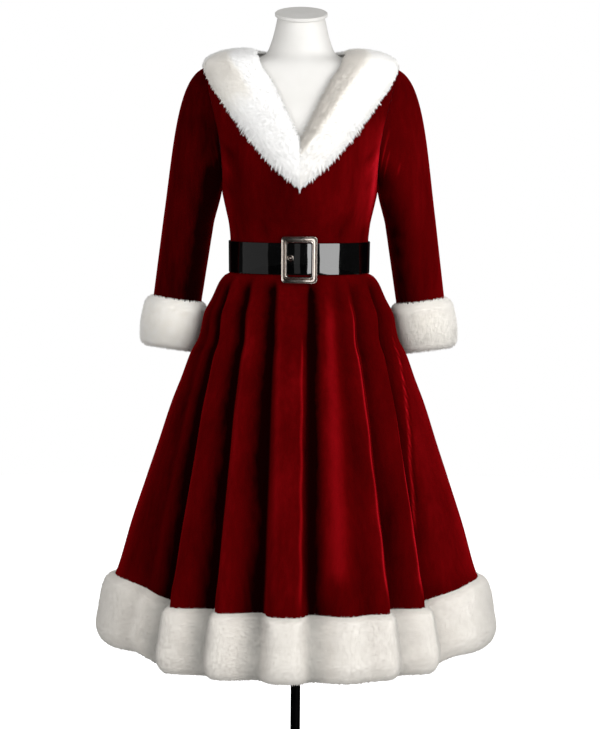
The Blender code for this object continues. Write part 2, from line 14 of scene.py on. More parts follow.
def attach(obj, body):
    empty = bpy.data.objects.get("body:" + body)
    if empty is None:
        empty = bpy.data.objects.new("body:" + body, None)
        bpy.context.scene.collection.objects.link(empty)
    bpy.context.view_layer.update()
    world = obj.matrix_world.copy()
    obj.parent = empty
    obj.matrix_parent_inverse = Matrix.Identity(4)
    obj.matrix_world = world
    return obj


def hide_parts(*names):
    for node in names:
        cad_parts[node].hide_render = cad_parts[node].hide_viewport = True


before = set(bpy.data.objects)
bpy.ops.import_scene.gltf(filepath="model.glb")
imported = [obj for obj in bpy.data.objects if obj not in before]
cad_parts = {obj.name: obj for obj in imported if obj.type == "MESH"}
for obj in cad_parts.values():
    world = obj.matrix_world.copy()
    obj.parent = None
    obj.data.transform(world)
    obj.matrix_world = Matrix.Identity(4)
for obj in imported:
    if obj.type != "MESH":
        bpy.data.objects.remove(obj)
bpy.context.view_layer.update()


def table(columns, *rows):
    """A short table whose columns have names. Its first column is the place that the others are read at."""
    return np.array(list(rows), dtype=[(column, float) for column in columns.split()])


# Cloth and the gaps between pieces
CLOTH = 0.0014
SEAM = 0.0003
FORM_CLEARANCE = 0.0022
# How far back pieces start past the side seam, in degrees, and the steps in azimuth and height for a slope
JUST_BEHIND = 1e-3
SLOPE_DEGREES = 5e-3
SLOPE_RISE = 1e-4
# The two halves of skirt and hem between their side seams, and the columns of an oval's sizes
HALVES = (("front", -90, 90), ("back", 90 + JUST_BEHIND, 270 - JUST_BEHIND))
SIDES = ("half", "front", "back")

# Heights
WAIST_Z = 1.0400
BELT_BOTTOM_Z = 1.0125
BELT_TOP_Z = 1.0675
FOLDS_FULL_Z = 0.950
HEM_SEAM_Z = 0.480
SKIRT_END_Z = 0.374
FORM_BOTTOM_Z = 0.800
NECK_BEND_Z = 1.410
NECK_TOP_Z = 1.457

# The outside of the bodice cloth, and above it the neck of the form
BODY = table(
    "z half front back",
    (0.99, 0.1195, 0.0885, 0.0885),
    (1.0125, 0.1198, 0.0885, 0.0885),
    (1.04, 0.12, 0.089, 0.0885),
    (1.068, 0.1206, 0.0915, 0.0885),
    (1.096, 0.1234, 0.1005, 0.0905),
    (1.124, 0.1295, 0.113, 0.095),
    (1.152, 0.1356, 0.1195, 0.1),
    (1.18, 0.14, 0.1215, 0.1035),
    (1.22, 0.148, 0.118, 0.106),
    (1.26, 0.1565, 0.11, 0.106),
    (1.3, 0.165, 0.1, 0.103),
    (1.335, 0.169, 0.089, 0.096),
    (1.352, 0.1665, 0.082, 0.09),
    (1.366, 0.161, 0.075, 0.083),
    (1.377, 0.138, 0.068, 0.076),
    (1.384, 0.108, 0.062, 0.069),
    (1.3895, 0.076, 0.057, 0.063),
    (1.396, 0.063, 0.0535, 0.0585),
    (1.41, 0.0565, 0.051, 0.055),
    (1.43, 0.0505, 0.048, 0.05),
    (1.458, 0.0445, 0.0445, 0.0445),
)

# The crests of the skirt's folds. The front stays flat under the buckle before it flares
SKIRT = table(
    "z half front back",
    (0.34, 0.345, 0.345, 0.345),
    (0.36, 0.3442, 0.3442, 0.3442),
    (0.4, 0.343, 0.343, 0.343),
    (0.44, 0.341, 0.34, 0.341),
    (0.48, 0.336, 0.333, 0.336),
    (0.508, 0.326, 0.322, 0.326),
    (0.578, 0.3045, 0.299, 0.3035),
    (0.648, 0.2797, 0.274, 0.2775),
    (0.718, 0.2545, 0.248, 0.2515),
    (0.788, 0.2302, 0.22, 0.2235),
    (0.83, 0.2128, 0.197, 0.2015),
    (0.872, 0.1965, 0.1725, 0.1785),
    (0.9, 0.181, 0.1555, 0.161),
    (0.942, 0.1715, 0.13, 0.141),
    (0.97, 0.1555, 0.1055, 0.124),
    (0.984, 0.1475, 0.0935, 0.115),
    (0.992, 0.143, 0.0897, 0.1105),
    (0.998, 0.1385, 0.0892, 0.106),
    (1.004, 0.1335, 0.0888, 0.101),
    (1.009, 0.127, 0.0886, 0.0935),
    (1.0122, 0.1198, 0.0885, 0.0885),
    (1.05, 0.1198, 0.0885, 0.0885),
)

# The valleys between the folds: azimuth and depth, as a share of the radius, at the waist and at the hem.
# The lean is the side that is steep: 1 towards a larger azimuth, -1 towards a smaller one. Dark is how much
# of the pile's painted shade shows in the valley, which is less on the side that faces the light
FOLDS = table(
    "hem waist width waist_depth hem_depth lean dark",
    (-99, -101, 8.5, 0.1, 0.16, 0, 1),
    (-58, -71, 3.5, 0.01, 0.05, 0.5, 0.4),
    (-47, -59, 4.2, 0.035, 0.15, 1, 1),
    (-29.5, -37.5, 4, 0.045, 0.155, 1, 1),
    (-12, -17.5, 4.2, 0.065, 0.165, 1, 1),
    (4.7, 8.5, 3.6, 0.045, 0.13, -1, 0.92),
    (23, 28, 3.5, 0.03, 0.055, 0, 0.25),
    (34, 40, 4.2, 0.045, 0.16, -1, 0.55),
    (49, 60, 4, 0.035, 0.14, -1, 0.45),
    (99, 101, 8.5, 0.1, 0.16, 0, 1),
    (122, 124, 4.5, 0.04, 0.14, 1, 0.8),
    (139, 141, 4.2, 0.045, 0.155, 0.6, 1),
    (157, 158, 4.2, 0.04, 0.13, 1, 0.8),
    (174, 173, 4, 0.045, 0.15, -0.7, 1),
    (191, 190, 4.2, 0.045, 0.14, -1, 0.8),
    (206, 207, 4, 0.04, 0.155, 0.6, 1),
    (223, 222, 4.2, 0.045, 0.13, -1, 0.8),
    (239, 238, 4.5, 0.04, 0.145, -1, 1),
)
FOLD_CORE = 0.75
FOLD_SHOULDER_WIDTH = 2.6
# How much a lean narrows the steep side and widens the other, and the lip on the steep side's edge
LEAN = 0.50
LIP_PLACE = 1.75
LIP_WIDTH = 0.26
LIP_HEIGHT = 0.0042
LIPS = FOLDS["lean"] * LIP_PLACE * FOLDS["width"] * (1 - LEAN)
# How far under the belt the painted shade in the valleys is full, and the part of each valley's width that it
# darkens
SHADE_START = 0.032
SHADE_SHARE = 0.74
# Painted highlight and painted shade: how much lighter a fold's lip is painted, and how much darker a valley
LIP_HIGHLIGHT = 0.10
VALLEY_SHADE = 1.20
SKIRT_ROWS, SKIRT_COLUMNS = 78, 220
# Above 1 the rows are closer together near the waist
SKIRT_ROW_POWER = 1.25

# The hem band of fur: how far it stands out from the crests, how much of each valley it follows, how far it
# dips at the front, and the azimuth where the dip ends at the sides, with the degrees that it fades over
HEM = table(
    "z out follow dip end run",
    (0.488, 0.0035, 1, 0.03, 68, 26),
    (0.4825, 0.015, 0.92, 0.03, 68, 26),
    (0.464, 0.018, 0.76, 0.028, 66, 24),
    (0.431, 0.0195, 0.66, 0.024, 63, 20),
    (0.401, 0.0225, 0.62, 0.021, 60, 16),
    (0.381, 0.0165, 0.63, 0.021, 58, 14),
    (0.371, 0.0055, 0.68, 0.021, 58, 14),
)

# How far the fur's body stays under the solid's face, for its hairs: on collar and cuffs, and on the hem. It
# is never more than a share of how far the fur stands out
FUR_LIFT = 0.0042
HEM_LIFT = 0.0026
MOST_LIFT = 0.5
# The fold edges of the hem band are softer below a height, and from there on sharp within the run
HEM_SOFT = 0.75
HEM_SOFT_Z = 0.455
HEM_SOFT_RUN = 0.03
# The hem's hairs hang down a little. Its hollows get painted shade, and all of it is painted darker than the
# other fur, as painted shade
HEM_COMB = (0, 0, -0.35)
HEM_HOLLOW_SHADE = 1.05
HEM_WHITE = -0.46
HEM_ROWS, HEM_COLUMNS = 26, 200

# Armhole: an oval on the side of the bodice
ARMHOLE_Z = 1.260
ARMHOLE_HALF_HEIGHT = 0.108
ARMHOLE_TURN = 24.0
UNDERARM_Z = ARMHOLE_Z - ARMHOLE_HALF_HEIGHT

# Neck edge of the bodice, under the collar
NECK_SIDE_Z = 1.387
BACK_NECK_Z = 1.375

# Rows of the bodice: behind the belt, from there to the underarm, and up the armhole. There the solid has
# fewer rows: the V opens from the first of them on, and the neck of the back from the eighth
BODICE_BELT_ROWS, BODICE_LOW_ROWS, BODICE_ARM_ROWS, BODICE_COLUMNS = 5, 18, 48, 46
SOLID_ROWS, V_TIP_ROW, BACK_NECK_ROW = 12, 1, 8
# What a degree round the bodice is in metres, for its creases
BODICE_DEGREE = math.radians(1) * 0.125

# Sleeve: the arm's centre line, and its ring at the upper arm and at the wrist
ARM_TOP = (0.1868, 0.003, 1.152)
ARM_SLOPE = (0.144, 0.130)
ARM_WAY = np.array([*ARM_SLOPE, -1]) / np.linalg.norm([*ARM_SLOPE, -1])
# The way from the middle of each ring to its front, which is nearly level
ARM_FRONT = (0, -1, 0.05)
UPPER_ARM_Z = 1.100
WRIST_Z = 0.881
UPPER_ARM_HALF = (0.0443, 0.0500)
WRIST_HALF = (0.0415, 0.0440)
# How the sleeve leaves the armhole under the arm and on top, and how far that reaches at both its ends
LEAVE_UNDER = (0.15, 0, -1)
LEAVE_TOP = (1, 0, -0.05)
LEAVE_REACH = (0.018, 0.055)
ARRIVE_REACH = (0.015, 0.120)
# What a degree round the arm and a part of the way along it are in metres, for its creases, and the part at
# the armhole that they fade over
ARM_DEGREE = math.radians(1) * 0.047
ARM_PART = 0.16
ARM_FADE = 0.06

# The cuff of fur along the arm: height of its centre line, and how far it stands out from the sleeve
CUFF = table(
    "z out",
    (0.96, 0.002),
    (0.9575, 0.0095),
    (0.945, 0.015),
    (0.913, 0.017),
    (0.886, 0.0145),
    (0.8785, 0.009),
    (0.877, 0.002),
)
CUFF_ROWS, CUFF_COLUMNS = 22, 84
# How far the hairs lean over both ends of a cuff, and how white the right and the left one are painted: the
# left one lighter, as painted light for its less lit side
CUFF_LEAN = 0.45
CUFF_WHITES = (-0.03, 0.22)

# The collar from the centre front over the shoulder to the centre back: azimuth and height of both its edges,
# how thick it is, and how far it stands off the rounding shoulder
COLLAR = table(
    "place inner inner_z outer outer_z thick seat",
    (0, 0, 1.241, 0, 1.162, 0.015, 0.0003),
    (0.14, 5.5, 1.275, 20, 1.205, 0.017, 0.0005),
    (0.28, 10.5, 1.31, 38.5, 1.262, 0.018, 0.0007),
    (0.42, 18, 1.352, 57, 1.32, 0.02, 0.0012),
    (0.54, 31, 1.38, 74, 1.353, 0.018, 0.0022),
    (0.64, 68, 1.389, 90, 1.369, 0.017, 0.0034),
    (0.76, 112, 1.39, 119, 1.345, 0.02, 0.0044),
    (0.88, 148, 1.39, 150, 1.306, 0.019, 0.003),
    (1, 180, 1.39, 180, 1.285, 0.018, 0.0008),
)
COLLAR_EDGE = 0.002
# The collar's fur is painted whiter than the hem's and the cuffs': painted light
COLLAR_WHITE = 0.50
COLLAR_ROWS, COLLAR_COLUMNS = 26, 90

# Coats of hairs: how many, their length and width in metres, how far they stand up, the size of their tufts
# and how much they gather in them, and how wild they are
COATS = {
    coat: dict(zip("count length width rise clump_size clump wild".split(), values))
    for coat, *values in (
        ("hem", 31500, 0.0031, 0.0012, 1.0, 0.006, 0.0, 0.09),
        ("cuff", 16000, 0.0052, 0.0015, 1.0, 0.0045, 0.15, 0.12),
        ("collar_under", 16000, 0.0062, 0.0015, 0.9, 0.0052, 0.42, 0.16),
        ("collar_tufts", 8000, 0.0158, 0.0014, 0.30, 0.0070, 0.80, 0.16),
        ("collar_wisps", 7500, 0.0128, 0.0009, 0.35, 0.0042, 0.45, 0.16),
    )
}
LENGTH_SPREAD = (0.70, 1.15)
# Tufts: how unlike their lengths are and what part of chance is the usual one, how much their tips meet in
# one point, and the two waves that their cells' edges waver in. The primes give each cell its own number
TUFT_SPREAD = 1.15
TUFT_USUAL = 0.45
TUFT_MEET = 0.4
TUFT_WAVES = ((0.35, 0.9), (0.30, 2.3))
CELL_PRIMES = (73856093, 19349663, 83492791)
# How deep a root sits in the skin, in hair widths, and how far a root's and a tip's shading leave the skin's
ROOT_DEPTH = 0.25
HAIR_SHADING = (0.08, 0.15)
# Tones, from 0 for the root colour to 1 for the tip colour: the body's, a hair's at both ends, and by chance
BODY_TONE = 0.84
ROOT_TONE = 0.78
TIP_TONE = 0.92
TONE_SPREAD = 0.04

# Belt and buckle
BELT_THICKNESS = 0.003
BELT_ROUND = 0.0009
BELT_COLUMNS = 240
BUCKLE_HALF = (0.0308, 0.0412)
WINDOW_HALF = (0.0210, 0.0290)
BUCKLE_Z = WAIST_Z - 0.0010
BUCKLE_CORNER = 0.006
WINDOW_CORNER = 0.004
# Across a bar of the buckle, from its outer edge to its window: height over the belt
BUCKLE_SECTION = table(
    "across height",
    (0, 0),
    (0.02, 0.003),
    (0.12, 0.005),
    (0.22, 0.0046),
    (0.31, 0.0022),
    (0.45, 0.002),
    (0.6, 0.0022),
    (0.7, 0.004),
    (0.82, 0.0045),
    (0.95, 0.0032),
    (1, 0),
)
EYELET_X = -0.0150
EYELET_Z = 1.0420
EYELET_RADIUS = 0.0056
EYELET_WIRE = 0.0010
PEG = table(
    "height reach",
    (0, 0.0024),
    (0.0012, 0.0026),
    (0.003, 0.0024),
    (0.0042, 0.0016),
    (0.0047, 0.0007),
)

# The form under the dress below the waist, its cap, and its stand
HIPS = table(
    "z half front back",
    (0.8, 0.129, 0.086, 0.096),
    (0.806, 0.138, 0.092, 0.103),
    (0.825, 0.145, 0.097, 0.11),
    (0.875, 0.147, 0.099, 0.112),
    (0.94, 0.137, 0.09, 0.104),
)
CAP_TILT = math.radians(16)
CAP = table(
    "z radius",
    (0, 0.0444),
    (0.0008, 0.0456),
    (0.005, 0.0458),
    (0.006, 0.0446),
)
FORM_COLUMNS = 96
# How far the form stays under the outside of the cloth, whose wall is 0.2 mm thicker in the solids
FORM_DEPTH = CLOTH + 0.0002 + FORM_CLEARANCE
POLE_RADIUS = 0.0087
BASE = table(
    "z radius",
    (0, 0.188),
    (0.0025, 0.19),
    (0.008, 0.1895),
    (0.012, 0.16),
    (0.015, 0.04),
    (0.032, 0.025),
    (0.034, 0.023),
)

# Soft creases in the cloth: from one end to the other, in the surface's own two places, with the half width
# in metres and the height, below 0 for a trough. On the bodice they run in from the armholes and up from the
# belt, in azimuth and height
BODICE_CREASES = table(
    "across along across_end along_end width height",
    (66, 1.235, 50, 1.205, 0.005, -0.0016),
    (67, 1.215, 54, 1.185, 0.0045, 0.0014),
    (70, 1.18, 56, 1.16, 0.006, -0.0015),
    (-66, 1.24, -51, 1.212, 0.0055, -0.0015),
    (-68, 1.205, -54, 1.18, 0.005, 0.0012),
    (-72, 1.172, -58, 1.15, 0.006, -0.0013),
    (34, 1.066, 40, 1.112, 0.005, -0.001),
    (-27, 1.066, -31, 1.104, 0.005, -0.0009),
    (63, 1.066, 68, 1.1, 0.005, -0.001),
    (-60, 1.066, -64, 1.108, 0.0055, -0.0011),
    (114, 1.22, 130, 1.195, 0.0055, -0.0016),
    (112, 1.195, 126, 1.172, 0.005, 0.0013),
    (246, 1.23, 229, 1.2, 0.0055, -0.0016),
    (248, 1.2, 233, 1.176, 0.005, 0.0012),
    (150, 1.066, 146, 1.11, 0.0055, -0.0012),
    (207, 1.066, 212, 1.105, 0.0055, -0.0011),
    (178, 1.066, 177, 1.095, 0.005, -0.0009),
)
# On the right sleeve the places are the turn round the arm and the way along it
SLEEVE_CREASES = table(
    "across along across_end along_end width height",
    (112, 0.02, 92, 0.5, 0.0045, 0.0012),
    (132, 0.03, 110, 0.62, 0.005, -0.0013),
    (150, 0.05, 132, 0.6, 0.0045, 0.001),
    (215, 0.04, 250, 0.5, 0.005, -0.0018),
    (236, 0.03, 268, 0.55, 0.0045, 0.0016),
    (165, 1.02, 110, 1.1, 0.005, -0.0016),
    (170, 1.16, 120, 1.24, 0.0055, -0.0014),
    (190, 1.1, 245, 1.2, 0.0055, -0.0015),
    (175, 1.34, 130, 1.44, 0.006, -0.0012),
    (60, 1.3, 82, 1.62, 0.006, -0.0008),
)
# Painted highlights and painted shade along the skirt's folds: azimuth at the hem and at the waist, between
# two heights, with the half width in degrees and the lightness, below 0 for painted shade
PAINTED_STREAKS = table(
    "hem waist top bottom width light",
    (29.6, 35.6, 0.985, 0.47, 0.32, 1.75),
    (30.5, 36.6, 0.975, 0.5, 0.5, -0.6),
    (44.9, 60.5, 0.975, 0.47, 0.34, 2),
    (45.9, 61.5, 0.96, 0.5, 0.5, -0.55),
    (49.5, 79.5, 0.935, 0.57, 0.36, 1.7),
    (50.6, 80.6, 0.92, 0.6, 0.5, -0.4),
    (1.4, 2.2, 0.93, 0.465, 0.36, 1.15),
    (-1.6, -1.6, 0.96, 0.48, 2.2, 0.12),
    (3, 6.5, 1.01, 0.47, 1.5, -0.55),
    (9.6, 15, 0.985, 0.47, 0.9, 0.3),
    (13.2, 20.5, 0.985, 0.5, 2.3, 0.85),
    (19.5, 27, 0.9, 0.48, 3, -0.04),
    (-8, -12, 0.96, 0.48, 1.6, 0.22),
    (-25.6, -33.5, 0.95, 0.48, 0.8, 0.25),
    (-23, -31, 0.95, 0.48, 1.8, 0.15),
    (-43, -55, 0.9, 0.48, 0.7, 0.2),
    (-40, -51, 0.9, 0.48, 1.8, -0.04),
    (39, 46, 0.93, 0.48, 1.8, 0.02),
    (56, 68, 0.9, 0.47, 5, 0.24),
    (70, 80, 0.9, 0.48, 5, 0.4),
    (80, 87, 0.88, 0.52, 2, -0.25),
    (-66, -76, 0.95, 0.48, 5, -0.32),
    (113, 115, 0.94, 0.48, 1.6, 0.35),
    (131, 133, 0.9, 0.48, 1.2, 0.4),
    (149, 150, 0.95, 0.48, 1.8, 0.35),
    (166, 166, 0.9, 0.48, 1.2, 0.45),
    (183, 183, 0.95, 0.48, 1.8, 0.4),
    (199, 199, 0.93, 0.5, 1.2, 0.4),
    (215, 214, 0.95, 0.48, 1.6, 0.3),
    (231, 230, 0.9, 0.48, 1.4, 0.3),
)
# How far and how often the lines waver, in degrees and metres
WAVER = 0.18
WAVER_LENGTH = 0.014
# Painted highlights and shade in the same way on the bodice, between two places of azimuth and height, with
# the half width in metres
BODICE_PAINTED_LIGHT = table(
    "across along across_end along_end width height",
    (72, 1.105, 66, 1.27, 0.01, 1.52),
    (62, 1.105, 55, 1.27, 0.027, 0.7),
    (45, 1.085, 40, 1.23, 0.008, -0.15),
    (-52, 1.08, -46, 1.26, 0.012, -0.35),
    (-70, 1.08, -64, 1.25, 0.008, 0.25),
    (-4, 1.06, -6, 1.19, 0.034, -0.36),
    (-30, 1.07, -30, 1.23, 0.02, -0.12),
    (118, 1.08, 120, 1.25, 0.012, 0.45),
    (150, 1.08, 148, 1.27, 0.013, -0.3),
    (180, 1.08, 180, 1.28, 0.016, 0.25),
    (212, 1.08, 214, 1.27, 0.013, -0.3),
    (240, 1.08, 238, 1.25, 0.012, 0.4),
)
# Painted shading of the creases: the relief that paints the velvet lighter by 1, and the most that it paints
# it lighter or darker
BODICE_RELIEF_SHADING = (0.0035, 0.5)
SLEEVE_RELIEF_SHADING = (0.0060, 0.4)
# How much lighter the right and the left sleeve are painted, the left one darker as painted shade, and how
# much of the tucks' painted highlights shows
SLEEVE_LIGHT = (0.02, -0.54)
SLEEVE_TUCK_HIGHLIGHTS = (1.0, 0.15)
# Round the sleeve: painted shade on the side towards the body and a painted highlight on the outer edge, in
# degrees of turn
SLEEVE_PAINTED_LIGHT = table(
    "turn width light",
    (-6, 11, 0.85),
    (60, 26, 0.02),
    (158, 36, -1.08),
    (250, 30, -0.25),
)
# Painted highlights on the edges of small tucks at the front of the right armhole, in the places of the
# sleeve's creases
TUCK_HIGHLIGHTS = table(
    "across along across_end along_end width height",
    (86, 0.1, 122, 0.11, 0.0017, 1.3),
    (98, 0.22, 121, 0.25, 0.0015, 1),
    (90, 0.45, 99, 0.5, 0.0015, 0.7),
)

# What each kind of piece is made of. The finishes are kept by the same names once they are made
SLOTS = {
    "cloth": "red_velvet",
    "fur": "white_fur",
    "strap": "patent_black",
    "metal": "polished_nickel",
    "shell": "form_white",
    "lid": "form_white",
    "plate": "black_paint",
    "tube": "black_paint",
}
FINISHES = {}
# The velvet's pile in painted shade, at rest, in a painted highlight, and in the brightest painted highlight
# on a fold's edge; and the fur's tones, with a painted shade and a painted white of strong light
PILE_PAINTED_SHADE = (0.0040, 0.0002, 0.0002)
PILE = (0.066, 0.0004, 0.0008)
PILE_PAINTED_HIGHLIGHT = (0.180, 0.0018, 0.0034)
PILE_BRIGHTEST_HIGHLIGHT = (0.400, 0.0060, 0.0130)
FUR_SHADE = (0.30, 0.295, 0.275)
FUR_ROOT = (0.64, 0.605, 0.555)
FUR_TIP = (0.900, 0.870, 0.812)
FUR_WHITE = (0.985, 0.980, 0.968)

# Camera: focal length in mm, place, and degrees that it looks down and is turned about its own axis
LENS = 129.8
CAMERA_PLACE = (0.003, -4.6, 1.26)
CAMERA_DOWN = 5.09
CAMERA_ROLL = 0.5
# Softboxes: azimuth, distance and height of the middle, width and height, the height they are aimed at,
# radiance, and whether the shiny pieces mirror them (1) or not (0)
LIGHTS = table(
    "azimuth distance z width height aim_z radiance mirrored",
    (40, 2.9, 1.5, 1.52, 2.8, 1.2, 3.6, 1),
    (13.2, 3.3, 0.9, 0.34, 1.9, 0.9, 4, 1),
    (-2.5, 3.3, 0.9, 0.42, 1.9, 0.9, 0.17, 1),
    (-65, 2.7, 1.1, 2.45, 2.6, 1.1, 0.17, 1),
    (-31, 2.9, 1.9, 2.4, 1.8, 1.2, 3.1, 0),
    (62, 1.7, 1.85, 0.8, 0.8, 1.4, 5.5, 0),
    (15, 1.6, 3, 1.4, 1.4, 1.1, 2.2, 0),
    (160, 2.8, 1.9, 1.8, 1.8, 1, 3.6, 0),
    (-130, 2.8, 1.6, 1.8, 1.8, 0.9, 2.2, 0),
)

# How bright the white surround is for the object, and for what mirrors it, and the floor
SURROUND_LIGHT = 0.17
SURROUND_MIRRORED = 0.02
FLOOR_RADIUS = 5.0
FLOOR_DROP = 0.0002


def read(rows, column, at):
    """The column's value at any place: a cubic through the rows that never swings past them."""
    order = np.argsort(rows[rows.dtype.names[0]])
    knots = rows[rows.dtype.names[0]][order]
    values = rows[column][order]
    steps = np.diff(knots)
    slopes = np.diff(values) / steps
    product = slopes[:-1] * slopes[1:]
    total = np.where(product > 0, slopes[:-1] + slopes[1:], 1.0)
    tangents = np.concatenate([slopes[:1], np.where(product > 0, 2 * product / total, 0), slopes[-1:]])
    at = np.asarray(at, float)
    cell = np.clip(np.searchsorted(knots, at, side="right") - 1, 0, len(steps) - 1)
    u = (at - knots[cell]) / steps[cell]
    start = values[cell] * (1 + 2 * u) * (1 - u) ** 2 + tangents[cell] * steps[cell] * u * (1 - u) ** 2
    return start + values[cell + 1] * u**2 * (3 - 2 * u) - tangents[cell + 1] * steps[cell] * u**2 * (1 - u)


def mix(first, second, share):
    """The first where the share is 0, the second where it is 1, and in proportion between them."""
    return first + (second - first) * share


def unit(vectors):
    """The vectors over their lengths."""
    return vectors / np.maximum(np.linalg.norm(vectors, axis=-1, keepdims=True), 1e-12)


def soft_step(value):
    """0 up to 0, 1 from 1 on, and a smooth cubic between them."""
    value = np.clip(value, 0, 1)
    return value**2 * (3 - 2 * value)


def bell(away, width):
    """1 in the middle, and 0.61 at the width."""
    return np.exp(-((away / width) ** 2) / 2)


def degrees_from(azimuth, line):
    """The shorter way round from a line to an azimuth, from -180 to 180."""
    return (azimuth - line + 180) % 360 - 180


def up_the_skirt(z):
    """0 at the hem's seam and 1 at the belt."""
    return np.clip((z - HEM_SEAM_Z) / (BELT_BOTTOM_Z - HEM_SEAM_Z), 0, 1)


def round_the_axis(half, front, back, azimuth, z):
    """An oval at each height. Its front and back halves stand half a seam apart from the middle plane."""
    turn = np.radians(azimuth)
    forward = np.cos(turn) >= 0
    y = np.where(forward, -front, -back) * np.cos(turn) + np.where(forward, -0.5, 0.5) * SEAM
    return np.stack(np.broadcast_arrays(half * np.sin(turn), y, z), axis=-1)


def moved_out(surface, across, along, distance):
    """Points of a surface, moved along its normal, which is the cross product of its two slopes."""
    right = surface(across + SLOPE_DEGREES, along) - surface(across - SLOPE_DEGREES, along)
    up = surface(across, along + SLOPE_RISE) - surface(across, along - SLOPE_RISE)
    return surface(across, along) + unit(np.cross(right, up)) * np.asarray(distance)[..., None]


def body(azimuth, z):
    """The outside of the smooth bodice cloth: an oval at each height, with its sizes read from the table."""
    return round_the_axis(*(read(BODY, side, z) for side in SIDES), azimuth, z)


def creases(rows, across, along, across_metres, along_metres=1.0):
    """Height of the creases: a bell across each line, and a half sine along it that fades at both ends."""
    total = 0
    for row in rows:
        x = (across - row["across"]) * across_metres
        y = (along - row["along"]) * along_metres
        line_x = (row["across_end"] - row["across"]) * across_metres
        line_y = (row["along_end"] - row["along"]) * along_metres
        share = (x * line_x + y * line_y) / (line_x**2 + line_y**2)
        near = np.clip(share, 0, 1)
        away = np.hypot(x - near * line_x, y - near * line_y)
        fade = np.sin(math.pi * np.clip(mix(0.12, 0.88, share), 0, 1))
        total = total + row["height"] * bell(away, row["width"]) * fade
    return total


def relief_nap(relief, full, most):
    """Painted shading of a relief: the relief over the full one, and never past the most."""
    return np.clip(relief / full, -most, most)


def fold_wells(azimuth, z, follow=1.0, sharp=1.0):
    """What the folds leave of the crest's radius, how much painted shade a point gets in a valley, and how
    near a fold's lip.

    Each valley is a bell, narrow on its steep side, with wider shoulders. A thin bell on the edge of the
    steep side is the lip of the fold. Sharp is how much of the lean and the lip is left.
    """
    down = np.clip((BELT_BOTTOM_Z - z) / (BELT_BOTTOM_Z - HEM_SEAM_Z), 0, 1)
    start = soft_step((BELT_BOTTOM_Z - z) / (BELT_BOTTOM_Z - FOLDS_FULL_Z))
    shade_start = soft_step((BELT_BOTTOM_Z - z) / SHADE_START)
    share, valley, lip = 1.0, 0.0, 0.0
    for fold, lip_place in zip(FOLDS, LIPS):
        away = degrees_from(azimuth, mix(fold["hem"], fold["waist"], (1 - down) ** 2))
        width = fold["width"] * (1 - LEAN * fold["lean"] * np.sign(away) * sharp)
        depth = mix(fold["waist_depth"], fold["hem_depth"], down) * start * follow
        shoulder = bell(away, FOLD_SHOULDER_WIDTH * fold["width"])
        share = share - depth * (FOLD_CORE * bell(away, width) + (1 - FOLD_CORE) * shoulder)
        # Painted shade in the valley, weaker where the fold's dark column says
        valley = np.maximum(valley, bell(away, SHADE_SHARE * width) * shade_start * fold["dark"])
        lip = lip + abs(fold["lean"]) * start * bell(away - lip_place, LIP_WIDTH * fold["width"])
    return share + lip * LIP_HEIGHT * follow * sharp**3, valley, lip


def skirt(azimuth, z):
    """The outside of the skirt cloth: an oval at each height, drawn in by what the folds leave of it."""
    share = fold_wells(azimuth, z)[0]
    return round_the_axis(*(read(SKIRT, side, z) * share for side in SIDES), azimuth, z)


def fold_azimuth(place, z):
    """Azimuth of the column that ends at a place of the hem: along the folds, and upright at the seams."""
    hem = np.concatenate([FOLDS["hem"], FOLDS["hem"] + LIPS, [-90, 90, 261, 270]])
    waist = np.concatenate([FOLDS["waist"], FOLDS["waist"] + LIPS, [-90, 90, 259, 270]])
    hem, first = np.unique(hem, return_index=True)
    return mix(place, np.interp(place, hem, waist[first]), up_the_skirt(z) ** 2)


def armhole(turn):
    """Azimuth and height of the armhole's front edge. The turn is 0 at the shoulder and 180 under the arm."""
    turn = np.radians(turn)
    return 90 - ARMHOLE_TURN * np.sin(turn), ARMHOLE_Z + ARMHOLE_HALF_HEIGHT * np.cos(turn)


def arm_ring(turn, z):
    """An oval across the arm. The turn is 0 on its outer side and 90 at the front."""
    down = (UPPER_ARM_Z - z) / (UPPER_ARM_Z - WRIST_Z)
    fall = ARM_TOP[2] - z
    centre = np.stack([ARM_TOP[0] + ARM_SLOPE[0] * fall, ARM_TOP[1] + ARM_SLOPE[1] * fall, z], axis=-1)
    outward = unit(np.array([1, 0, 0]) - ARM_WAY[0] * ARM_WAY)
    forward = unit(np.array(ARM_FRONT))
    half, deep = (mix(*sizes, down)[..., None] for sizes in zip(UPPER_ARM_HALF, WRIST_HALF))
    return centre + half * np.cos(turn)[..., None] * outward + deep * np.sin(turn)[..., None] * forward


def sleeve(turn, along):
    """The outside of the right sleeve.

    From 0 to 1 a cubic leads from the armhole to the upper arm: flat out from the shoulder on top, and
    straight down under the arm. From 1 to 2 the ovals run down the arm.
    """
    turn, along = np.broadcast_arrays(np.asarray(turn, float), np.asarray(along, float))
    radians = np.radians(turn)
    start = moved_out(body, *armhole(turn), 2 * SEAM)
    top = ((1 + np.cos(radians)) / 2)[..., None]
    leave = unit(mix(np.array(LEAVE_UNDER), np.array(LEAVE_TOP), top)) * mix(*LEAVE_REACH, top)
    end = arm_ring(radians, np.full(turn.shape, UPPER_ARM_Z))
    arrive = ARM_WAY * mix(*ARRIVE_REACH, top)
    t = np.clip(along, 0, 1)[..., None]
    head = start * (1 - t) ** 3 + 3 * (start + leave) * t * (1 - t) ** 2
    head = head + 3 * (end - arrive) * t**2 * (1 - t) + end * t**3
    arm = arm_ring(radians, mix(UPPER_ARM_Z, WRIST_Z, np.clip(along - 1, -1, None)))
    return np.where(along[..., None] <= 1, head, arm)


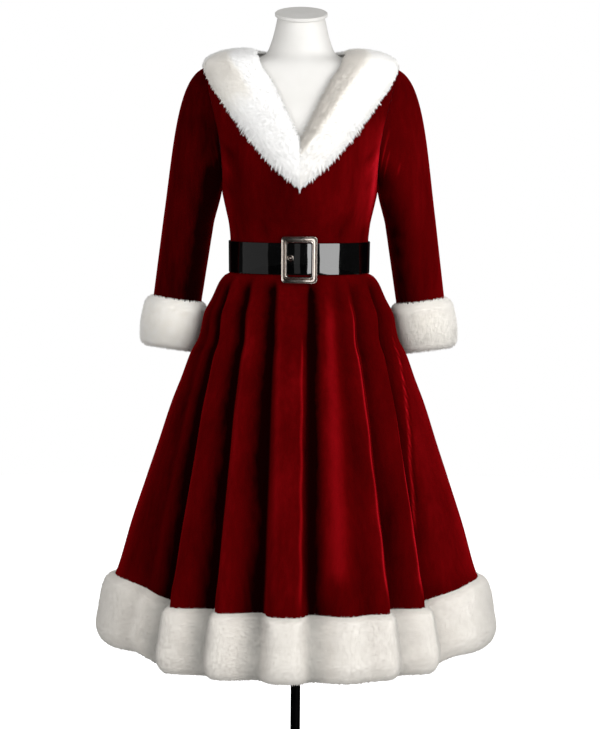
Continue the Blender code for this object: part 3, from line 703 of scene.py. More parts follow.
def belt_seat(azimuth, z):
    """What the belt lies on: straight from the oval at its lower edge to the one at its upper edge."""
    up = np.asarray((z - BELT_BOTTOM_Z) / (BELT_TOP_Z - BELT_BOTTOM_Z))
    return mix(body(azimuth, BELT_BOTTOM_Z), body(azimuth, BELT_TOP_Z), up[..., None])


def on_belt(x, z, out):
    """A point on the belt's face at x and z, and as far off it as the piece stands out."""
    half = read(BODY, "half", WAIST_Z) + BELT_THICKNESS + SEAM
    azimuth = np.degrees(np.arcsin(np.clip(x / half, -1, 1)))
    return moved_out(belt_seat, azimuth, z, BELT_THICKNESS + 2 * SEAM + out)


# Meshes


def strips(rows, columns, closed=False):
    """Two triangles for each cell of a grid of points, numbered row by row."""
    cells = np.arange(rows - 1), np.arange(columns if closed else columns - 1)
    row, column = np.meshgrid(*cells, indexing="ij")
    a = row * columns + column
    b = row * columns + (column + 1) % columns
    c, d = b + columns, a + columns
    return np.concatenate([np.stack([a, b, c], -1).reshape(-1, 3), np.stack([a, c, d], -1).reshape(-1, 3)])


def turned_out(points, faces):
    """The faces, turned round where the volume that they enclose comes out below 0."""
    a, b, c = points[faces[:, 0]], points[faces[:, 1]], points[faces[:, 2]]
    return faces if np.einsum("ij,ij->", a, np.cross(b, c)) > 0 else faces[:, ::-1]


def between(outer, inner, faces):
    """Points and faces of a solid between two skins with the same faces, with a rim at every free edge."""
    outer, inner = outer.reshape(-1, 3), inner.reshape(-1, 3)
    count = len(outer)
    points = np.concatenate([outer, inner])
    edges = np.concatenate([faces[:, [0, 1]], faces[:, [1, 2]], faces[:, [2, 0]]])
    _, first, uses = np.unique(np.sort(edges, axis=1), axis=0, return_index=True, return_counts=True)
    a, b = edges[first[uses == 1]].T
    rim = np.concatenate([np.stack([b, a, a + count], -1), np.stack([b, a + count, b + count], -1)])
    return points, turned_out(points, np.concatenate([faces, faces[:, ::-1] + count, rim]))


def without_loose(points, faces, values):
    """The points that a face uses, and the faces numbered again."""
    used, numbers = np.unique(faces, return_inverse=True)
    return points[used], numbers.reshape(-1, 3), values[used]


def skinned(rings):
    """Points and faces of a solid over closed rings, with a fan to the middle of the first and the last."""
    rows, columns = rings.shape[:2]
    points = np.concatenate([rings.reshape(-1, 3), rings[0].mean(0)[None], rings[-1].mean(0)[None]])
    first = np.arange(columns)
    after = (first + 1) % columns
    last = (rows - 1) * columns
    bottom = np.stack([after, first, np.full(columns, rows * columns)], -1)
    top = np.stack([first + last, after + last, np.full(columns, rows * columns + 1)], -1)
    return points, turned_out(points, np.concatenate([strips(rows, columns, closed=True), bottom, top]))


def looped(rings):
    """Points and faces of a solid whose rings close on each other, as in a band or a frame."""
    rows, columns = rings.shape[:2]
    points = rings.reshape(-1, 3)
    return points, turned_out(points, strips(rows + 1, columns, closed=True) % (rows * columns))


def add_piece(node, kind, points, faces, sharp=50, normals=None, **attributes):
    """A mesh object that rides on the object, stands for the CAD node and has the finish of its kind.

    It is shaded smooth but for edges sharper than the given degrees, or by the given normals of its points.
    The attributes are values of its points, for the finish.
    """
    name, slot = f"{node}_{kind}", SLOTS[kind]
    mesh = bpy.data.meshes.new(name)
    mesh.vertices.add(len(points))
    mesh.vertices.foreach_set("co", np.ascontiguousarray(points, dtype=np.float32).ravel())
    mesh.loops.add(faces.size)
    mesh.loops.foreach_set("vertex_index", np.ascontiguousarray(faces, dtype=np.int32).ravel())
    mesh.polygons.add(len(faces))
    mesh.polygons.foreach_set("loop_start", np.arange(0, faces.size, 3, dtype=np.int32))
    mesh.update(calc_edges=True)
    mesh.shade_smooth()
    if normals is None:
        mesh.set_sharp_from_angle(angle=math.radians(sharp))
    else:
        mesh.normals_split_custom_set_from_vertices(np.ascontiguousarray(normals, dtype=np.float32))
    for label, values in attributes.items():
        made = mesh.attributes.new(label, "FLOAT", "POINT")
        made.data.foreach_set("value", np.ascontiguousarray(values, dtype=np.float32).ravel())
    mesh.materials.append(FINISHES[slot])
    piece = bpy.data.objects.new(name, mesh)
    bpy.context.scene.collection.objects.link(piece)
    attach(piece, "root")
    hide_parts(node)
    return piece


# Materials


def add_node(tree, kind, inputs=(), **settings):
    """A shader node with its settings. An input is a number or colour, or a socket to link from."""
    node = tree.nodes.new(kind)
    for key, value in settings.items():
        setattr(node, key, value)
    for key, value in dict(inputs).items():
        if isinstance(value, bpy.types.NodeSocket):
            tree.links.new(value, node.inputs[key])
        else:
            node.inputs[key].default_value = value
    return node


def variation_group():
    """Noise between two values at a size in metres, for the tone, the gloss or the relief of a finish."""
    group = bpy.data.node_groups.new("variation", "ShaderNodeTree")
    for name, default in (("Size", 0.01), ("Detail", 2.0), ("Low", 0.0), ("High", 1.0)):
        socket = group.interface.new_socket(name, in_out="INPUT", socket_type="NodeSocketFloat")
        socket.default_value = default
    stretch = group.interface.new_socket("Stretch", in_out="INPUT", socket_type="NodeSocketVector")
    stretch.default_value = (1, 1, 1)
    group.interface.new_socket("Value", in_out="OUTPUT", socket_type="NodeSocketFloat")
    given = add_node(group, "NodeGroupInput").outputs
    place = add_node(group, "ShaderNodeTexCoord").outputs["Object"]
    spread = add_node(group, "ShaderNodeVectorMath", {0: place, 1: given["Stretch"]}, operation="MULTIPLY")
    scale = add_node(group, "ShaderNodeMath", {0: 1.0, 1: given["Size"]}, operation="DIVIDE")
    drawn = {"Vector": spread.outputs[0], "Scale": scale.outputs[0], "Detail": given["Detail"]}
    noise = add_node(group, "ShaderNodeTexNoise", drawn).outputs["Fac"]
    ranged = ranged_value(group, noise, 0.3, 0.7, given["Low"], given["High"])
    add_node(group, "NodeGroupOutput", {"Value": ranged})
    return group


def ranged_value(tree, value, start, end, low=0.0, high=1.0):
    """Low where the value is at the start or before it, high from the end on, and straight between them."""
    inputs = {"Value": value, "From Min": start, "From Max": end, "To Min": low, "To Max": high}
    return add_node(tree, "ShaderNodeMapRange", inputs).outputs["Result"]


VARIATION = variation_group()


def varied(tree, size, low=0.0, high=1.0, detail=2.0, stretch_z=1):
    """The variation group's noise, with a size, range and detail of its own, stretched along Z."""
    inputs = {"Size": size, "Low": low, "High": high, "Detail": detail, "Stretch": (1, 1, stretch_z)}
    node = add_node(tree, "ShaderNodeGroup", node_tree=VARIATION)
    for key, value in inputs.items():
        node.inputs[key].default_value = value
    return node.outputs["Value"]


def attribute(tree, name):
    """A value of the piece's own points."""
    return add_node(tree, "ShaderNodeAttribute", attribute_name=name).outputs["Fac"]


def blended(tree, share, first, second):
    """A colour between two, by a share."""
    node = add_node(tree, "ShaderNodeMix", {"Factor": share}, data_type="RGBA")
    for socket, value in ((node.inputs[6], first), (node.inputs[7], second)):
        if isinstance(value, bpy.types.NodeSocket):
            tree.links.new(value, socket)
        else:
            socket.default_value = (*value, 1)
    return node.outputs[2]


def combined(tree, first, second, operation="MULTIPLY"):
    """Two values, the first times the second unless another sum is named."""
    return add_node(tree, "ShaderNodeMath", {0: first, 1: second}, operation=operation).outputs[0]


def new_finish(name, tones=None, gloss=None, relief=None, **sockets):
    """Keeps a new Principled material. Returns its tree and its shader.

    Tones are the size of the patches and the two colours that they vary between. Gloss is the size, low and
    high of the roughness, and relief the size, detail, stretch, strength and depth of the bumps. Each other
    socket that is named has one value all over.
    """
    FINISHES[name] = material = bpy.data.materials.new(name)
    material.use_nodes = True
    tree = material.node_tree
    shader = tree.nodes["Principled BSDF"]
    for key, value in sockets.items():
        shader.inputs[key.replace("_", " ")].default_value = value
    if tones:
        tree.links.new(blended(tree, varied(tree, tones[0]), *tones[1:]), shader.inputs["Base Color"])
    if gloss:
        tree.links.new(varied(tree, *gloss), shader.inputs["Roughness"])
    if relief:
        size, detail, stretch_z, strength, depth = relief
        height = varied(tree, size, detail=detail, stretch_z=stretch_z)
        bump = add_node(tree, "ShaderNodeBump", {"Height": height, "Strength": strength, "Distance": depth})
        tree.links.new(bump.outputs["Normal"], shader.inputs["Normal"])
        if "Coat_Weight" in sockets:
            tree.links.new(bump.outputs["Normal"], shader.inputs["Coat Normal"])
    return tree, shader


def velvet():
    """Deep red pile with a sheen: painted shade in the folds, and painted highlights over their edges and
    where the light falls.
    """
    tree, shader = new_finish(
        "red_velvet",
        gloss=(0.030, 0.74, 0.90),
        relief=(0.0009, 1.0, 1, 0.35, 0.0004),
        Sheen_Weight=0.30,
        Sheen_Roughness=0.35,
        Sheen_Tint=(1.0, 0.008, 0.014, 1),
        Specular_IOR_Level=0.0,
    )
    # Painted highlights and shade of each point, with random variation added
    nap = combined(tree, attribute(tree, "nap"), varied(tree, 0.060, -0.16, 0.16, 1.0, 0.35), "ADD")
    nap = combined(tree, nap, varied(tree, 0.0080, -0.10, 0.10, 3.0, 0.16), "ADD")
    # Painted highlights from 0 up, the brightest from 1 up, and painted shade below 0
    colour = PILE
    for start, end, tone in ((0, 1, PILE_PAINTED_HIGHLIGHT), (1, 2, PILE_BRIGHTEST_HIGHLIGHT), (0, -1, PILE_PAINTED_SHADE)):
        colour = blended(tree, ranged_value(tree, nap, start, end), colour, tone)
    pile = varied(tree, 0.0011, 0.86, 1.12, detail=1.0)
    shaded = add_node(tree, "ShaderNodeVectorMath", {0: colour, "Scale": pile}, operation="SCALE")
    tree.links.new(shaded.outputs[0], shader.inputs["Base Color"])


def fur():
    """Warm white plush: cream at the roots and nearly white at the tips, with soft patches."""
    tree, shader = new_finish(
        "white_fur", Roughness=0.92, Sheen_Weight=0.20, Sheen_Roughness=0.5, Specular_IOR_Level=0.10
    )
    tone = combined(tree, attribute(tree, "tone"), varied(tree, 0.022, -0.10, 0.10), "ADD")
    colour = blended(tree, tone, FUR_ROOT, FUR_TIP)
    # Below a tone of 0 the colour turns to painted shade, and above 1 to the white of painted light
    for start, end, shade in ((0, -1, FUR_SHADE), (1, 1.5, FUR_WHITE)):
        colour = blended(tree, ranged_value(tree, tone, start, end), colour, shade)
    tree.links.new(colour, shader.inputs["Base Color"])


def plain_finishes():
    """Patent, polished metal, moulding and powder coat."""
    # A mirror coat over near black, with the faint waves of a stiff strap
    new_finish(
        "patent_black",
        tones=(0.020, (0.0004, 0.0004, 0.0004), (0.0010, 0.0010, 0.0011)),
        gloss=(0.012, 0.10, 0.17),
        relief=(0.022, 0.0, 1, 0.25, 0.00025),
        Coat_Weight=1.0,
        Coat_Roughness=0.03,
        Coat_IOR=1.9,
        Specular_IOR_Level=0.05,
    )
    # Slightly warm, with fine scratches
    new_finish(
        "polished_nickel",
        tones=(0.006, (0.60, 0.53, 0.48), (0.66, 0.59, 0.54)),
        gloss=(0.0060, 0.20, 0.25),
        relief=(0.0012, 3.0, 0.2, 0.05, 0.00005),
        Metallic=1.0,
    )
    # Smooth, with a satin skin, a little handled
    new_finish(
        "form_white",
        tones=(0.050, (0.650, 0.638, 0.612), (0.690, 0.678, 0.655)),
        gloss=(0.020, 0.42, 0.56),
        relief=(0.0016, 2.0, 1, 0.12, 0.0002),
        Specular_IOR_Level=0.4,
    )
    # A fine orange peel on steel, unevenly glossy
    new_finish(
        "black_paint",
        tones=(0.015, (0.0004, 0.0004, 0.0004), (0.0014, 0.0014, 0.0015)),
        gloss=(0.025, 0.34, 0.48),
        relief=(0.0014, 2.0, 1, 0.2, 0.0002),
        Specular_IOR_Level=0.06,
    )


def floor_white():
    """A pale floor whose shadows stay near the object: the camera sees it fade to the white of the surround.

    Mirrors see it dark, as they see the surround.
    """
    tree, shader = new_finish(
        "floor_white", Roughness=0.9, Specular_IOR_Level=0.1, Emission_Color=(1, 1, 1, 1)
    )
    place = add_node(tree, "ShaderNodeTexCoord").outputs["Object"]
    away = add_node(tree, "ShaderNodeVectorMath", {0: place}, operation="LENGTH").outputs["Value"]
    fade = ranged_value(tree, away, 0.15, 0.75, low=0.25)
    seen = add_node(tree, "ShaderNodeLightPath").outputs
    mirrored = blended(tree, seen["Is Glossy Ray"], (0.80, 0.80, 0.80), (0.02, 0.02, 0.02))
    tree.links.new(mirrored, shader.inputs["Base Color"])
    tree.links.new(combined(tree, seen["Is Camera Ray"], fade), shader.inputs["Emission Strength"])


# Hair


def grid_normals(grid, closed=False):
    """Unit normals of a grid of points, from the differences between its neighbours."""
    padded = np.concatenate([grid[:, -1:], grid, grid[:, :1]], 1) if closed else grid
    across = np.gradient(padded, axis=1)
    if closed:
        across = across[:, 1:-1]
    return unit(np.cross(across, np.gradient(grid, axis=0)))


def facing(normals, row, column, way):
    """The normals, all turned round where the one at the row and the column points against the way."""
    return normals * np.sign(np.sum(normals[row, column] * way))


def hairs(coat, seed, skin, outward, comb, closed=False, reach=1.0, share=1.0, tone=0.0):
    """Tapered three-sided hairs on a grid of points.

    A hair starts just under the skin. Its way is the normal times the rise, plus the comb, plus a chance as
    wild as the coat. Hairs of one small cell lean to the mean of their tips, which makes tufts. The reach is
    times the length, and fewer hairs grow where the share is below 1. The tone is added to theirs. Returns
    points, faces, normals and tones.
    """
    coat = COATS[coat]
    count, width, clump, clump_size = (coat[key] for key in ("count", "width", "clump", "clump_size"))
    chance = np.random.default_rng(seed)
    grids = [skin, outward, np.broadcast_to(comb, skin.shape)]
    grids += [np.broadcast_to(values, skin.shape[:2]) for values in (coat["length"] * reach, share, tone)]
    if closed:
        grids = [np.concatenate([values, values[:, :1]], 1) for values in grids]
    skin, outward, comb, length, share, tone = grids
    edge_a, edge_b = skin[1:, 1:] - skin[:-1, :-1], skin[1:, :-1] - skin[:-1, 1:]
    area = np.linalg.norm(np.cross(edge_a, edge_b), axis=-1) * (share[1:, 1:] + share[:-1, :-1])
    reached = np.cumsum(area.ravel())
    cell = np.searchsorted(reached, (np.arange(count) + chance.random(count)) / count * reached[-1])
    row, column = np.unravel_index(np.minimum(cell, area.size - 1), area.shape)
    u, v = chance.random(count), chance.random(count)

    def at(values):
        """Bilinear reading of a grid at the hairs' places."""
        u_, v_ = (u[:, None], v[:, None]) if values.ndim == 3 else (u, v)
        low = mix(values[row, column], values[row, column + 1], u_)
        return mix(low, mix(values[row + 1, column], values[row + 1, column + 1], u_), v_)

    root, normal, way, reach = at(skin), unit(at(outward)), at(comb), at(length)
    reach = reach * mix(*LENGTH_SPREAD, chance.random(count))
    way = unit(normal * coat["rise"] + way + chance.normal(0, coat["wild"], (count, 3)))
    tip = root + way * reach[:, None]
    (wide, slow), (narrow, fast) = TUFT_WAVES
    warp = wide * np.sin(root[:, [1, 2, 0]] / clump_size * slow)
    warp = warp + narrow * np.sin(root[:, [2, 0, 1]] / clump_size * fast)
    place = np.floor(root / clump_size + warp).astype(np.int64)
    key = np.bitwise_xor.reduce(place * CELL_PRIMES, axis=1)
    group = np.unique(key, return_inverse=True)[1].ravel()
    size = np.bincount(group)
    middle = np.stack([np.bincount(group, tip[:, axis]) / size for axis in range(3)], -1)
    long_tuft = 1 + TUFT_SPREAD * clump * (chance.random(len(size)) - TUFT_USUAL)
    gathered = root + unit(middle[group] - root) * (reach * long_tuft[group])[:, None]
    tip = mix(tip, mix(gathered, middle[group], TUFT_MEET), clump)
    way = unit(tip - root)
    side = unit(np.cross(way, normal + 0.01))
    other = np.cross(way, side)
    start = root - normal * (ROOT_DEPTH * width)
    turn = chance.random(count)[:, None] * 2 * math.pi + np.arange(3) * 2 * math.pi / 3
    ring = np.cos(turn)[..., None] * side[:, None] + np.sin(turn)[..., None] * other[:, None]
    points = np.concatenate([start[:, None] + ring * (width / 2), tip[:, None]], 1)
    pattern = np.array([[0, 1, 3], [1, 2, 3], [2, 0, 3], [0, 2, 1]])
    faces = np.arange(count)[:, None, None] * 4 + pattern
    low, high = HAIR_SHADING
    normals = np.concatenate([unit(normal[:, None] + low * ring), unit(normal + high * way)[:, None]], 1)
    own = (chance.normal(0, TONE_SPREAD, count) + at(tone))[:, None]
    tones = np.concatenate([np.full((count, 3), ROOT_TONE) + own, np.full((count, 1), TIP_TONE) + own], 1)
    return points.reshape(-1, 3), faces.reshape(-1, 3), normals.reshape(-1, 3), tones.ravel()


def fur_piece(node, base, skin_normals, coats, white, tone=0.0, flip=1):
    """The fur of one node: its body, whose outer skin has these normals, and its coats of hairs.

    White is added to every tone, and the tone to the body's own. A flip of -1 mirrors it to the other side.
    """
    outer = skin_normals.reshape(-1, 3)
    own = np.broadcast_to(tone, skin_normals.shape[:2]).ravel()
    parts = [(*base, np.concatenate([outer, -outer]), BODY_TONE + np.concatenate([own, own])), *coats]
    starts = np.cumsum([0] + [len(part[0]) for part in parts[:-1]])
    faces = np.concatenate([part[1] + start for part, start in zip(parts, starts)])
    points, normals, tones = (np.concatenate([part[kind] for part in parts]) for kind in (0, 2, 3))
    side = np.array([flip, 1, 1])
    return add_piece(node, "fur", points * side, faces[:, ::flip], normals=normals * side, tone=tones + white)


# Pieces


def cloth_piece(node, points, faces, nap, grid, held, rests_on, with_pieces=()):
    """The velvet of one node. Its cut, the grid's longest row and column and its outer skin's area, is worked
    out but not used.
    """
    piece = add_piece(node, "cloth", points, faces, nap=nap)
    steps = (np.linalg.norm(np.diff(grid, axis=axis), axis=-1).sum(axis).max() for axis in (1, 0))
    flat = tuple(round(float(step), 3) for step in steps)
    a, b, c = points[faces[:, 0]], points[faces[:, 1]], points[faces[:, 2]]
    area = np.linalg.norm(np.cross(b - a, c - a), axis=-1).sum() / 4
    area = min(area, flat[0] * flat[1])


def make_bodice(trims):
    """Front and back of the bodice, each in two mirrored halves joined at the centre below the neck.

    Rows run from the centre to the side seam, and above it to the armhole. The inner end of a row climbs the
    centre and then the edge of the neck.
    """
    in_belt = np.linspace(WAIST_Z + SEAM / 2, BELT_TOP_Z, BODICE_BELT_ROWS)[:-1]
    low_z = np.concatenate([in_belt, np.linspace(BELT_TOP_Z, UNDERARM_Z, BODICE_LOW_ROWS)[:-1]])
    climb = np.arange(BODICE_ARM_ROWS + 1) / BODICE_ARM_ROWS
    edge_azimuth, edge_z = armhole(180 * (1 - climb))
    outer_z = np.concatenate([low_z, edge_z])
    front_z = mix(UNDERARM_Z, NECK_SIDE_Z, np.sin(climb * math.pi / 2))
    finer = BODICE_ARM_ROWS // SOLID_ROWS
    tip_z = front_z[V_TIP_ROW * finer]
    reach = np.clip((front_z - tip_z) / (NECK_SIDE_Z - tip_z), 0, 1) * read(BODY, "half", NECK_SIDE_Z)
    neck_azimuth = np.degrees(np.arcsin(np.clip(reach / read(BODY, "half", front_z), 0, 1)))
    row = climb * SOLID_ROWS
    below = np.clip(row / BACK_NECK_ROW, 0, 1)
    above = np.clip((row - BACK_NECK_ROW) / (SOLID_ROWS - BACK_NECK_ROW), 0, 1)
    back_z = mix(UNDERARM_Z, BACK_NECK_Z, below) + (NECK_SIDE_Z - BACK_NECK_Z) * above
    back_azimuth = 180 - (90 - JUST_BEHIND) * above
    ends = (
        ("front", 0, neck_azimuth, front_z, edge_azimuth, 0.0, V_TIP_ROW, trims),
        ("back", 180, back_azimuth, back_z, 180 - edge_azimuth, JUST_BEHIND, BACK_NECK_ROW, ()),
    )
    for half, centre, inner_azimuth, inner_z, outer_azimuth, past_side, open_row, trim in ends:
        inner_azimuth = np.concatenate([0 * low_z + centre, inner_azimuth])
        outer_azimuth = np.concatenate([0 * low_z + 90, outer_azimuth]) + past_side
        share = np.linspace(0, 1, BODICE_COLUMNS)
        azimuth = mix(inner_azimuth[:, None], outer_azimuth[:, None], share)
        z = mix(np.concatenate([low_z, inner_z])[:, None], outer_z[:, None], share)
        skins = []
        for flip, own in ((1, azimuth), (-1, 2 * centre - azimuth)):
            relief = creases(BODICE_CREASES, own, z, BODICE_DEGREE)
            # Painted highlights and shade along lines, and painted shading of the creases' relief
            nap = creases(BODICE_PAINTED_LIGHT, own, z, BODICE_DEGREE) + relief_nap(relief, *BODICE_RELIEF_SHADING)
            both = (moved_out(body, azimuth, z, relief - depth) * [flip, 1, 1] for depth in (0, CLOTH))
            skins.append((*both, nap))
        outer, inner, nap = (np.stack(layers) for layers in zip(*skins))
        joined = (np.arange(azimuth.size) + azimuth.size).reshape(azimuth.shape)
        closed_rows = len(low_z) + open_row * finer + 1
        joined[:closed_rows, 0] -= azimuth.size
        outer[0, :closed_rows, 0, 0] = inner[0, :closed_rows, 0, 0] = 0
        faces = strips(*azimuth.shape)
        faces = np.concatenate([faces, joined.ravel()[faces][:, ::-1]])
        used = without_loose(*between(outer, inner, faces), np.tile(nap.ravel(), 2))
        whole = np.concatenate([outer[1][:, ::-1], outer[0]], 1)
        cloth_piece(f"bodice_{half}", *used, whole, "draped", ["form_body"], trim)


def make_sleeves(trims):
    """Both sleeves, as rings from the armhole to the wrist, closer together where the tucks are."""
    ends = ((64, 172, 40), (172, 424, 50))
    turn = np.concatenate([np.linspace(*stretch, endpoint=False) for stretch in ends])
    along = np.concatenate([np.linspace(0, 1, 46)[:-1], np.linspace(1, 2, 26)])[:, None]
    relief = creases(SLEEVE_CREASES, turn, along, ARM_DEGREE, ARM_PART) * soft_step(along / ARM_FADE)
    outer, inner = (moved_out(sleeve, turn, np.maximum(along, 2e-4), relief - depth) for depth in (0, CLOTH))
    # Painted shading of the creases and round the sleeve, and painted highlights on the tucks
    sleeve_shading = relief_nap(relief, *SLEEVE_RELIEF_SHADING)
    tucks = creases(TUCK_HIGHLIGHTS, turn, along, ARM_DEGREE, ARM_PART)
    for row in SLEEVE_PAINTED_LIGHT:
        sleeve_shading = sleeve_shading + row["light"] * bell(degrees_from(turn, row["turn"]), row["width"])
    points, faces = between(outer, inner, strips(*outer.shape[:2], closed=True))
    round_it = np.concatenate([outer, outer[:, :1]], 1)
    rests_on = ["bodice_front", "bodice_back"]
    # The left sleeve is painted darker, as painted shade
    sides = zip(("right", "left"), trims, (1, -1), SLEEVE_LIGHT, SLEEVE_TUCK_HIGHLIGHTS)
    for side, trim, flip, light, tucked in sides:
        nap = np.tile((sleeve_shading + tucked * tucks).ravel() + light, 2)
        own = points * np.array([flip, 1, 1])
        cloth_piece(f"sleeve_{side}", own, faces[:, ::flip], nap, round_it, "hung", rests_on, (trim,))


def skirt_columns(start, end, count):
    """Places along the hem between two azimuths, closer together where the folds turn."""
    fine = np.linspace(start, end, 4001)
    density = 1.0
    for fold, lip in zip(FOLDS, LIPS):
        away = degrees_from(fine, fold["hem"])
        closer = 1.6 * bell(away, 1.5 * fold["width"]) + 2.5 * bell(away - lip, 1.2)
        density = density + abs(fold["lean"]) * closer
    reached = np.concatenate([[0], np.cumsum((density[1:] + density[:-1]) / 2)])
    return np.interp(np.linspace(0, reached[-1], count), reached, fine)


def painted_streaks(azimuth, z):
    """Painted highlights and shade of the velvet: a bell across each wavering line that fades at its ends."""
    total = 0
    for row in PAINTED_STREAKS:
        waver = WAVER * np.sin(z / WAVER_LENGTH + row["hem"])
        away = degrees_from(azimuth, mix(row["hem"], row["waist"], up_the_skirt(z) ** 2) + waver)
        fade = soft_step((row["top"] - z) / 0.06) * soft_step((z - row["bottom"]) / 0.04)
        total = total + row["light"] * bell(away, row["width"]) * fade
    return total


def make_skirt(trims):
    """Front and back of the skirt. Rows are closer together near the waist, where the folds start."""
    z = mix(WAIST_Z - SEAM / 2, SKIRT_END_Z, np.linspace(0, 1, SKIRT_ROWS) ** SKIRT_ROW_POWER)[:, None]
    for (half, start, end), trim in zip(HALVES, trims):
        azimuth = fold_azimuth(skirt_columns(start, end, SKIRT_COLUMNS), z)
        azimuth[:, 0], azimuth[:, -1] = start, end
        outer = skirt(azimuth, z)
        solid = between(outer, moved_out(skirt, azimuth, z, -CLOTH), strips(*azimuth.shape))
        valley, lip = fold_wells(azimuth, z)[1:]
        # Painted highlights along the folds and on their lips, and painted shade in the valleys
        nap = np.tile((painted_streaks(azimuth, z) + LIP_HIGHLIGHT * lip - VALLEY_SHADE * valley).ravel(), 2)
        cloth_piece(f"skirt_{half}", *solid, nap, outer, "hung", ["form_body"], (trim,))


def make_hem():
    """The two halves of the hem band: its body follows the folds, and its plush stands out from it."""
    made = []
    profile = np.linspace(0, 1, HEM_ROWS)
    z = mix(HEM["z"][0], HEM["z"][-1], soft_step(profile) * 0.5 + profile * 0.5)[:, None]
    row = {column: read(HEM, column, z) for column in ("out", "follow", "dip", "end", "run")}
    out = row["out"] - np.minimum(HEM_LIFT, MOST_LIFT * row["out"])
    sharp = mix(HEM_SOFT, 1.0, soft_step((z - HEM_SOFT_Z) / HEM_SOFT_RUN))
    middle = HEM_ROWS // 2, HEM_COLUMNS // 2
    for (half, start, end), seed in zip(HALVES, (11, 12)):
        azimuth = skirt_columns(start, end, HEM_COLUMNS)
        dipped = z - row["dip"] * soft_step((row["end"] - np.abs(azimuth)) / row["run"])
        share, valley, _ = fold_wells(azimuth, dipped, row["follow"], sharp)
        skin = round_the_axis(*((read(SKIRT, side, dipped) + out) * share for side in SIDES), azimuth, dipped)
        seat = moved_out(skirt, azimuth, dipped, SEAM)
        outside = np.concatenate([seat[:1], skin, seat[-1:]])
        normals = facing(grid_normals(outside), middle[0] + 1, middle[1], skin[middle] * [1, 1, 0])
        # Painted shade in the hollows between the folds
        tone = -HEM_HOLLOW_SHADE * valley
        tones = np.concatenate([tone[:1], tone, tone[-1:]])
        coat = hairs("hem", seed, outside, normals, HEM_COMB, tone=tones)
        base = between(skin, seat, strips(*skin.shape[:2]))
        made.append(fur_piece(f"hem_{half}", base, normals[1:-1], (coat,), HEM_WHITE, tone))
    return made


def make_cuffs():
    """Two bands: the sleeve moved out by the profile, with hairs that lean over both ends."""
    turn = np.arange(CUFF_COLUMNS) * 360 / CUFF_COLUMNS
    z = mix(CUFF["z"][0], CUFF["z"][-1], np.linspace(0, 1, CUFF_ROWS))[:, None]
    along = 1 + (UPPER_ARM_Z - z) / (UPPER_ARM_Z - WRIST_Z)
    out = read(CUFF, "out", z)
    skin = moved_out(sleeve, turn, along, out - np.minimum(FUR_LIFT, MOST_LIFT * out) + SEAM)
    seat = moved_out(sleeve, turn, along, SEAM)
    outside = np.concatenate([seat[:1], skin, seat[-1:]])
    ring = skin[CUFF_ROWS // 2]
    normals = facing(grid_normals(outside, closed=True), CUFF_ROWS // 2, 0, ring[0] - ring.mean(0))
    lean = np.linspace(CUFF_LEAN, -CUFF_LEAN, len(outside))[:, None]
    comb = np.stack(np.broadcast_arrays(0.03, 0.03, lean), -1)
    coat = hairs("cuff", 21, outside, normals, comb, closed=True)
    base = between(skin, seat, strips(*skin.shape[:2], closed=True))
    sides = zip(("cuff_right", "cuff_left"), CUFF_WHITES, (1, -1))
    return [fur_piece(node, base, normals[1:-1], (coat,), white, flip=flip) for node, white, flip in sides]


def make_collar():
    """Each half is a fur band that swells from thin edges, with long tufts over its outer edge.

    The halves are mirrored. At the front, the right one has painted shade along its inner edge, and the left
    one is painted lighter, with painted shade in a patch on the shoulder.
    """
    place = np.linspace(0, 1, COLLAR_COLUMNS)[:, None]
    share = (1 - np.cos(np.linspace(0, math.pi, COLLAR_ROWS))) / 2
    across = mix(0.035, 0.945, share)
    azimuth = mix(read(COLLAR, "inner", place), read(COLLAR, "outer", place), across)
    z = mix(read(COLLAR, "inner_z", place), read(COLLAR, "outer_z", place), across)
    under = moved_out(body, azimuth, z, read(COLLAR, "seat", place))
    normal = unit(moved_out(body, azimuth, z, 1.0) - body(azimuth, z))
    outward = unit(normal + normal[:, -1:])
    swell = np.sqrt(1 - np.abs(2 * share - 1) ** 3)
    over = under + outward * mix(COLLAR_EDGE, read(COLLAR, "thick", place) - FUR_LIFT, swell)[..., None]
    under[[0, -1], :, 0] = over[[0, -1], :, 0] = SEAM / 2
    middle = COLLAR_COLUMNS // 2, COLLAR_ROWS // 2
    normals = facing(grid_normals(over), *middle, outward[middle])
    base = between(over, under, strips(*over.shape[:2]))

    # Hairs lean to the outer edge and a little down, and where both halves meet they lean over the seam
    comb = unit(np.gradient(over, axis=1)) * mix(-0.10, 0.85, share)[None, :, None] + np.array([0, 0, -0.15])
    over_centre = (1 - soft_step(place / 0.05)) * (1 - 0.85 * soft_step((share - 0.50) / 0.30))
    comb = comb + over_centre[..., None] * np.array([-1.1, 0, 0])
    # The shoulder flattens them, and the long ones grow near the edges
    flat = 1 - 0.45 * bell(place - 0.56, 0.15)
    long_reach = flat * mix(0.50, 1.0, soft_step((share - 0.5) / 0.4))
    at_edge = soft_step((share - 0.80) / 0.15) + 0.12 * soft_step((0.10 - share) / 0.10)

    # Painted shade in a band along the inner edge and in a patch on the shoulder, and painted light over the
    # left half, all only at the front
    front = 1 - soft_step((place - 0.50) / 0.25)
    band = 1 - soft_step((share - 0.20) / 0.14)
    patch = soft_step((share - 0.25) / 0.2) * bell(place - 0.52, 0.11)
    made = []
    for node, collar_shading, flip in (("collar_right", -1.45 * band, 1), ("collar_left", 0.35 - 1.30 * patch, -1)):
        tone = front * collar_shading
        coats = (
            hairs("collar_under", 31, over, normals, comb, reach=flat, tone=tone),
            hairs("collar_tufts", 32, over, normals, 1.4 * comb, reach=long_reach, share=at_edge, tone=tone),
            hairs("collar_wisps", 33, over, normals, 1.4 * comb, reach=long_reach, share=at_edge, tone=tone),
        )
        made.append(fur_piece(node, base, normals, coats, COLLAR_WHITE, tone, flip))
    return made


